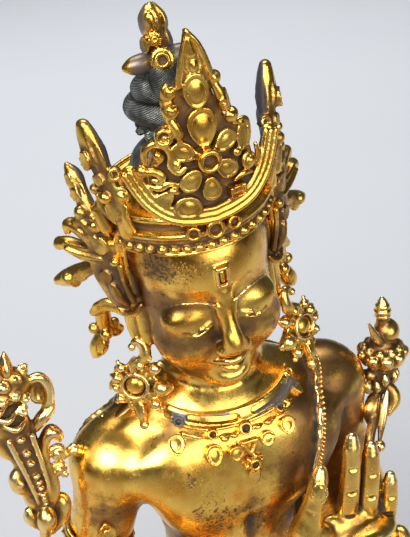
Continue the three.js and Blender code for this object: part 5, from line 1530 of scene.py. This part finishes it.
def petal_relief(turn, rise, shift):
    """How far petals stand out: turn is the angle in petals, rise runs from root to tip."""

    def petal(offset, height, reach, width):
        u = ((turn + offset + 0.5) % 1.0 - 0.5) * 2 / width
        v = rise / reach
        half = np.sqrt(np.clip(1 - np.clip(v, 0, 1) ** 2.6, 0, 1)) * (1 - 0.12 * v) + 1e-4
        share = np.abs(u) / half
        body = np.sqrt(np.clip(1 - share ** 2, 0, 1)) * np.sqrt(np.clip(v * 3.0, 0, 1))
        rim = np.exp(-(((share - 0.84) / 0.09) ** 2)) * 0.16
        heart = np.exp(-((share / 0.45) ** 2)) * 0.16 * np.clip(1 - v, 0, 1)
        return np.where((share < 1) & (v < 1), height * (0.45 * body ** 0.6 + 0.35 * body + rim + heart), 0)

    return np.maximum(petal(shift, 0.0052, 1.0, 0.94), petal(shift + 0.5, 0.0031, 0.96, 0.9))


def model_base(material):
    heights = np.array([h for h, _ in BASE_PROFILE])
    levels = np.unique(np.concatenate([heights, np.linspace(0.0052, 0.0455, 66)]))
    turn = 2 * math.pi * np.arange(BASE_COLUMNS) / BASE_COLUMNS
    step = np.interp(levels, heights, [s for _, s in BASE_PROFILE])
    petals = turn / (2 * math.pi) * BASE_PETALS
    relief = np.zeros((len(levels), BASE_COLUMNS))
    upper_top, lower_end = 0.0402, 0.0056
    for k, z in enumerate(levels):
        if BASE_WAIST < z < upper_top:
            relief[k] = petal_relief(petals, (z - BASE_WAIST) / (upper_top - BASE_WAIST), 0.0)
        elif lower_end < z < BASE_WAIST:
            relief[k] = petal_relief(petals, (BASE_WAIST - z) / (BASE_WAIST - lower_end), 0.5)
        pearl = ((turn / (2 * math.pi) * 96) % 1.0 - 0.5) * 2
        ball = 1 - pearl ** 2 - ((z - 0.0429) / 0.0017) ** 2
        relief[k] += 0.0021 * np.sqrt(np.clip(ball, 0, 1))
    rings = []
    for k, z in enumerate(levels):
        out = relief[k] - step[k]
        ring = [(BASE_SIZE[0] + out) * np.cos(turn), (BASE_SIZE[1] + out) * np.sin(turn), np.full(len(turn), z)]
        rings.append(np.stack(ring, 1))
    for share in (0.9, 0.6, 0.3, 0.02):
        rings.append(rings[len(levels) - 1] * [share, share, 1])
    rings.insert(0, rings[0] * [0.02, 0.02, 1])
    points = np.concatenate(rings)
    rows, columns = len(rings), BASE_COLUMNS
    i, j = np.meshgrid(np.arange(rows - 1), np.arange(columns), indexing="ij")
    k = (j + 1) % columns
    quads = np.stack([i * columns + j, i * columns + k, (i + 1) * columns + k, (i + 1) * columns + j], -1)
    quads = quads.reshape(-1, 4)
    # How hollow the relief is, which the gilding paints dark: deposits and painted shade.
    hollow = np.zeros((rows, columns))
    inner = relief - (np.roll(relief, 3, 1) + np.roll(relief, -3, 1)) / 2
    height = relief - step[:, None]
    across = height - (np.roll(height, 4, 0) + np.roll(height, -4, 0)) / 2
    hollow[1:1 + len(levels)] = np.clip(-(inner + across * 0.6) / 0.0009, -1, 1)
    hollow[1:4] = 0
    # Painted shade round the waist, where the base draws in.
    shade = np.zeros((rows, columns))
    shade[1:1 + len(levels)] = np.exp(-(((levels - BASE_WAIST) / 0.004) ** 2))[:, None]
    fields = {"hollow": hollow.ravel(), "shade": shade.ravel(), "bare": np.zeros(len(points))}
    closing = [bottom_cap(columns, 0, False), bottom_cap(columns, (rows - 1) * columns, True)]
    quads = np.vstack([quads] + closing)
    return make_piece("base_petals", points, quads, "lotus_base", material, fields)


def bottom_cap(columns, first, up):
    """Four-cornered faces that close a ring of points."""
    half = columns // 2
    i = np.arange(half - 1)
    faces = np.stack([i, i + 1, columns - 2 - i, columns - 1 - i], 1) + first
    return faces if up else faces[:, ::-1]


# Materials.
class Nodes:
    """A short way to write a material's nodes."""

    def __init__(self, name):
        self.material = bpy.data.materials.new(name)
        self.material.use_nodes = True
        self.tree = self.material.node_tree
        self.tree.nodes.clear()

    def add(self, kind, **settings):
        node = self.tree.nodes.new(kind)
        inputs = settings.pop("inputs", {})
        for key, value in settings.items():
            setattr(node, key, value)
        for key, value in inputs.items():
            self.put(value, node.inputs[key])
        return node

    def put(self, value, socket):
        if isinstance(value, bpy.types.NodeSocket):
            self.tree.links.new(value, socket)
        else:
            socket.default_value = value

    def attribute(self, name):
        return self.add("ShaderNodeAttribute", attribute_name=name).outputs["Fac"]

    def place(self):
        return self.add("ShaderNodeTexCoord").outputs["Object"]

    def noise(self, scale, detail=3.0, rough=0.55, distortion=0.0):
        settings = {"Vector": self.place(), "Scale": scale, "Detail": detail, "Roughness": rough, "Distortion": distortion}
        return self.add("ShaderNodeTexNoise", inputs=settings).outputs["Fac"]

    def math(self, operation, a, b=0.0, clamp=False):
        node = self.add("ShaderNodeMath", operation=operation, use_clamp=clamp)
        self.put(a, node.inputs[0])
        self.put(b, node.inputs[1])
        return node.outputs[0]

    def step(self, value, low, high, start=0.0, end=1.0):
        """Smoothly from start to end as value goes from low to high."""
        node = self.add("ShaderNodeMapRange", interpolation_type="SMOOTHSTEP")
        for key, number in zip(("From Min", "From Max", "To Min", "To Max"), (low, high, start, end)):
            node.inputs[key].default_value = number
        self.put(value, node.inputs["Value"])
        return node.outputs["Result"]

    def mix(self, share, a, b):
        node = self.add("ShaderNodeMix", data_type="RGBA")
        self.put(share, node.inputs[0])
        self.put(a, node.inputs[6])
        self.put(b, node.inputs[7])
        return node.outputs[2]

    def finish(self, colour, metallic, rough, normal=None):
        shader = self.add("ShaderNodeBsdfPrincipled")
        self.put(colour, shader.inputs["Base Color"])
        self.put(metallic, shader.inputs["Metallic"])
        self.put(rough, shader.inputs["Roughness"])
        if normal is not None:
            self.put(normal, shader.inputs["Normal"])
        output = self.add("ShaderNodeOutputMaterial")
        self.tree.links.new(shader.outputs[0], output.inputs[0])
        return self.material


def rgb(red, green, blue):
    return (red, green, blue, 1.0)


BRIGHT_GOLD = rgb(0.98, 0.63, 0.13)
DEEP_GOLD = rgb(0.82, 0.42, 0.065)
RUBBED_GOLD = rgb(1.0, 0.83, 0.46)
TARNISH_AND_SHADE_BROWN = rgb(0.29, 0.155, 0.055)
OLD_BROWN_AND_SHADE = rgb(0.075, 0.045, 0.022)
CAVITY_BROWN = rgb(0.085, 0.05, 0.024)
SOOT_AND_SHADE = rgb(0.030, 0.022, 0.015)
LEAD_GREY = rgb(0.12, 0.125, 0.145)
HAIR_BLACK = rgb(0.10, 0.105, 0.10)
HAIR_WORN = rgb(0.45, 0.46, 0.43)


def gilt(name, wear, grime_and_shade, age=0.0, hollow_fill=SOOT_AND_SHADE):
    """Old mercury gilding, rubbed bright where it stands out, painted dark where it lies back,
    with real deposits and painted shade together. wear is how much of it has speckled away, grime how
    dark its hollows and recesses are painted, age how brown it is all over, soil the colour painted into its hollows."""
    n = Nodes(name)
    hollow = n.attribute("hollow")
    shade = n.attribute("shade")
    bare = n.attribute("bare")
    tarnish_and_shade = n.attribute("tarnish_and_shade")
    pits = n.attribute("pits")
    broad = n.noise(95, 3.0)
    patch = n.noise(230, 5.0, 0.62)
    speck = n.noise(1250, 4.0, 0.62, 0.4)
    fine = n.noise(3600, 3.0)
    blotch = n.math("SUBTRACT", patch, 0.5)
    tone = n.step(broad, 0.36, 0.66)
    colour = n.mix(tone, BRIGHT_GOLD, DEEP_GOLD)
    rubbed = n.math("MULTIPLY", n.step(hollow, -0.2, -0.9), 0.6)
    colour = n.mix(rubbed, colour, RUBBED_GOLD)
    # Brown where the gilding has aged, from blotches and the marks, with painted shade added in broad recesses and
    # hollows, which the marks also carry.
    stain_and_shade = n.math("ADD", n.math("MULTIPLY", shade, 0.8), n.math("MULTIPLY", blotch, 1.6))
    stain_and_shade = n.math("ADD", stain_and_shade, n.math("MULTIPLY", hollow, 0.75))
    stain_and_shade = n.math("ADD", n.math("ADD", stain_and_shade, tarnish_and_shade), age)
    brown = n.math("MULTIPLY", n.step(stain_and_shade, 0.05, 0.7), grime_and_shade)
    colour = n.mix(brown, colour, TARNISH_AND_SHADE_BROWN)
    # Deepest brown where that sum runs highest: real age and painted shade together.
    deep_brown_and_shade = n.math("MULTIPLY", n.step(stain_and_shade, 0.75, 1.35), grime_and_shade)
    colour = n.mix(deep_brown_and_shade, colour, OLD_BROWN_AND_SHADE)
    lost = n.math("ADD", speck, n.math("MULTIPLY", blotch, 0.5))
    lost = n.math("ADD", lost, n.math("MULTIPLY", pits, 0.17))
    speckle = n.math("MULTIPLY", n.step(lost, 0.71 - wear * 0.1, 0.76 - wear * 0.1), 0.9)
    colour = n.mix(speckle, colour, OLD_BROWN_AND_SHADE)
    # Hollows painted near black: deposits the metal holds there, and painted shade.
    depth = n.math("ADD", hollow, n.math("MULTIPLY", n.math("SUBTRACT", fine, 0.5), 0.25))
    dirt_and_shade = n.math("MULTIPLY", n.step(depth, 0.08, 0.55), grime_and_shade)
    colour = n.mix(dirt_and_shade, colour, hollow_fill)
    colour = n.mix(bare, colour, LEAD_GREY)
    dull = n.math("ADD", n.math("MULTIPLY", dirt_and_shade, 0.75), n.math("MULTIPLY", speckle, 0.45))
    dull = n.math("ADD", dull, n.math("MULTIPLY", deep_brown_and_shade, 0.35))
    metal = n.math("MULTIPLY", n.step(dull, 0.0, 1.0, 1.0, 0.3), n.step(bare, 0.0, 1.0, 1.0, 0.55))
    rough = n.math("ADD", n.step(patch, 0.3, 0.75, 0.19, 0.34), n.math("MULTIPLY", speckle, 0.25))
    rough = n.math("ADD", rough, n.math("MULTIPLY", brown, 0.1))
    rough = n.math("ADD", rough, n.math("MULTIPLY", dirt_and_shade, 0.3))
    rough = n.math("ADD", rough, n.math("MULTIPLY", bare, 0.12))
    bumps = n.math("ADD", n.math("MULTIPLY", speckle, -0.8), n.math("MULTIPLY", patch, 0.9))
    bumps = n.math("ADD", bumps, n.math("MULTIPLY", fine, 0.18))
    bump = n.add("ShaderNodeBump", inputs={"Strength": 0.5, "Distance": 0.00016, "Height": bumps})
    return n.finish(colour, metal, rough, bump.outputs[0])


def black_hair(name):
    """Hair of dark metal, cut into fine strands."""
    n = Nodes(name)
    strand = n.attribute("strand")
    wave = n.math("SINE", n.math("MULTIPLY", n.math("ADD", strand, n.math("MULTIPLY", n.noise(300, 2.0), 0.2)), 12.0))
    worn = n.step(n.math("ADD", n.noise(260, 4.0), n.math("MULTIPLY", wave, 0.08)), 0.45, 0.68)
    colour = n.mix(worn, HAIR_BLACK, HAIR_WORN)
    # Hollows between strands painted near black: soot and painted shade.
    colour = n.mix(n.step(n.attribute("hollow"), 0.1, 0.6), colour, SOOT_AND_SHADE)
    rough = n.step(worn, 0.0, 1.0, 0.5, 0.34)
    height = n.math("ADD", n.math("MULTIPLY", wave, 0.5), n.math("MULTIPLY", n.noise(1500, 4.0), 0.5))
    bump = n.add("ShaderNodeBump", inputs={"Strength": 0.9, "Distance": 0.00025, "Height": height})
    return n.finish(colour, 0.75, rough, bump.outputs[0])


def pale_floor_with_painted_shade(name):
    """Pale card, painted dark in front of the figure as painted shade, where the picture doesn't reach."""
    n = Nodes(name)
    tone = n.mix(n.noise(3.0, 2.0), rgb(0.60, 0.61, 0.635), rgb(0.64, 0.65, 0.67))
    depth = n.add("ShaderNodeSeparateXYZ", inputs={"Vector": n.place()}).outputs["Y"]
    # Painted shade: the card's colour turns near black towards the front.
    tone = n.mix(n.step(depth, -0.45, 0.1), rgb(0.10, 0.10, 0.11), tone)
    return n.finish(tone, 0.0, 0.85)


# The room: floor, light and camera.
def lay_floor():
    half = 30.0
    data = bpy.data.meshes.new("floor")
    corners = [(-half, -half, 0), (half, -half, 0), (half, half, 0), (-half, half, 0)]
    data.from_pydata(corners, [], [(0, 1, 2, 3)])
    data.materials.append(pale_floor_with_painted_shade("pale_floor_with_painted_shade"))
    floor = bpy.data.objects.new("floor", data)
    bpy.context.scene.collection.objects.link(floor)


def soft_box(name, place, target, size, power, colour, spread=180):
    """An area light in metres, turned to its target."""
    lamp = bpy.data.lights.new(name, "AREA")
    lamp.shape = "RECTANGLE"
    lamp.size, lamp.size_y = size
    lamp.energy = power
    lamp.color = colour
    lamp.spread = math.radians(spread)
    holder = bpy.data.objects.new(name, lamp)
    holder.location = place
    holder.rotation_euler = Vector(np.subtract(place, target)).to_track_quat("Z", "Y").to_euler()
    bpy.context.scene.collection.objects.link(holder)


def light_room():
    world = bpy.data.worlds.new("studio")
    world.use_nodes = True
    sky = world.node_tree.nodes["Background"]
    sky.inputs["Color"].default_value = rgb(0.85, 0.9, 1.0)
    sky.inputs["Strength"].default_value = 0.09
    bpy.context.scene.world = world
    bpy.context.scene.view_settings.view_transform = "Standard"
    chest = in_metres([0, 0, 34])

    def towards(azimuth, elevation, distance):
        a, e = math.radians(azimuth), math.radians(elevation)
        return chest + np.array([math.sin(a) * math.cos(e), -math.cos(a) * math.cos(e), math.sin(e)]) * distance

    soft_box("window", towards(-40, 36, 1.0), chest, (0.65, 0.65), 11.0, (1.0, 0.98, 0.95))
    soft_box("front", towards(12, 12, 1.1), chest, (0.8, 0.7), 6.5, (1.0, 0.97, 0.92))
    soft_box("backdrop", (0.25, 0.95, 2.0), (0.25, 0.95, 0.0), (1.5, 1.5), 11.8, (0.96, 0.98, 1.0), 80)


def place_camera():
    az, el, roll = VIEW_AZIMUTH, VIEW_ELEVATION, VIEW_ROLL
    back = np.array([math.sin(az) * math.cos(el), -math.cos(az) * math.cos(el), math.sin(el)])
    level = np.array([math.cos(az), math.sin(az), 0])
    upright = np.cross(back, level)
    right = math.cos(roll) * level + math.sin(roll) * upright
    up = np.cross(back, right)
    lens = bpy.data.cameras.new("camera")
    lens.sensor_fit = "VERTICAL"
    lens.sensor_height = 24
    lens.lens = VIEW_FOCAL * lens.sensor_height
    lens.clip_start = 0.01
    camera = bpy.data.objects.new("camera", lens)
    turned = Matrix(np.stack([right, up, back], 1)).to_4x4()
    camera.matrix_world = Matrix.Translation(in_metres(VIEW_TARGET + back * VIEW_DISTANCE)) @ turned
    bpy.context.scene.collection.objects.link(camera)
    bpy.context.scene.camera = camera


gilding = gilt("worn_gilding", 0.35, 0.95)
jewel_gilding = gilt("jewel_gilding", 0.2, 1.0, 0.12)
crown_gilding = gilt("crown_gilding", 0.2, 0.95, 0.45, CAVITY_BROWN)
brown_gilding = gilt("brown_gilding", 0.3, 0.95, 0.7, CAVITY_BROWN)
dark_gilding = gilt("dark_gilding", 0.2, 1.0, 0.9)
hair_metal = black_hair("black_hair")

body_clay = model_body()
cast("figure_body", body_clay, gilding)
cast("raised_hand", model_raised_hand(), gilding)
cast("open_hand", model_open_hand(), gilding)
cast("shoulder_band", model_locks(), dark_gilding)
cast("collar", model_collar(body_clay), jewel_gilding, bare=slot_share)
cast("shawl_border", model_border(body_clay), jewel_gilding)
cast("arm_rings", model_armlets(), jewel_gilding)
cast("girdle", model_girdle(body_clay), jewel_gilding)
cast("head", model_head(), gilding, on_head=True)
cast("hair", model_hair(), hair_metal, on_head=True, strand=hair_strands)
cast("finial", model_finial(), crown_gilding, on_head=True, bare=bare_finial)
cast("crown_leaf", model_front_leaf(), crown_gilding, on_head=True, bare=bare_backs)
cast("crown_band", model_band(), crown_gilding, on_head=True)
cast("crown_sides", model_crown_side(), brown_gilding, on_head=True, bare=bare_backs, mirror=(0, 0, -0.45))
cast("earrings", model_earring(), jewel_gilding, on_head=True, mirror=(0.55, 0, 0))
cast("right_lotus", model_right_spray(), brown_gilding)
cast("left_lotus", model_left_spray(), brown_gilding)
model_base(crown_gilding)

lay_floor()
light_room()
place_camera()
bpy.context.view_layer.update()
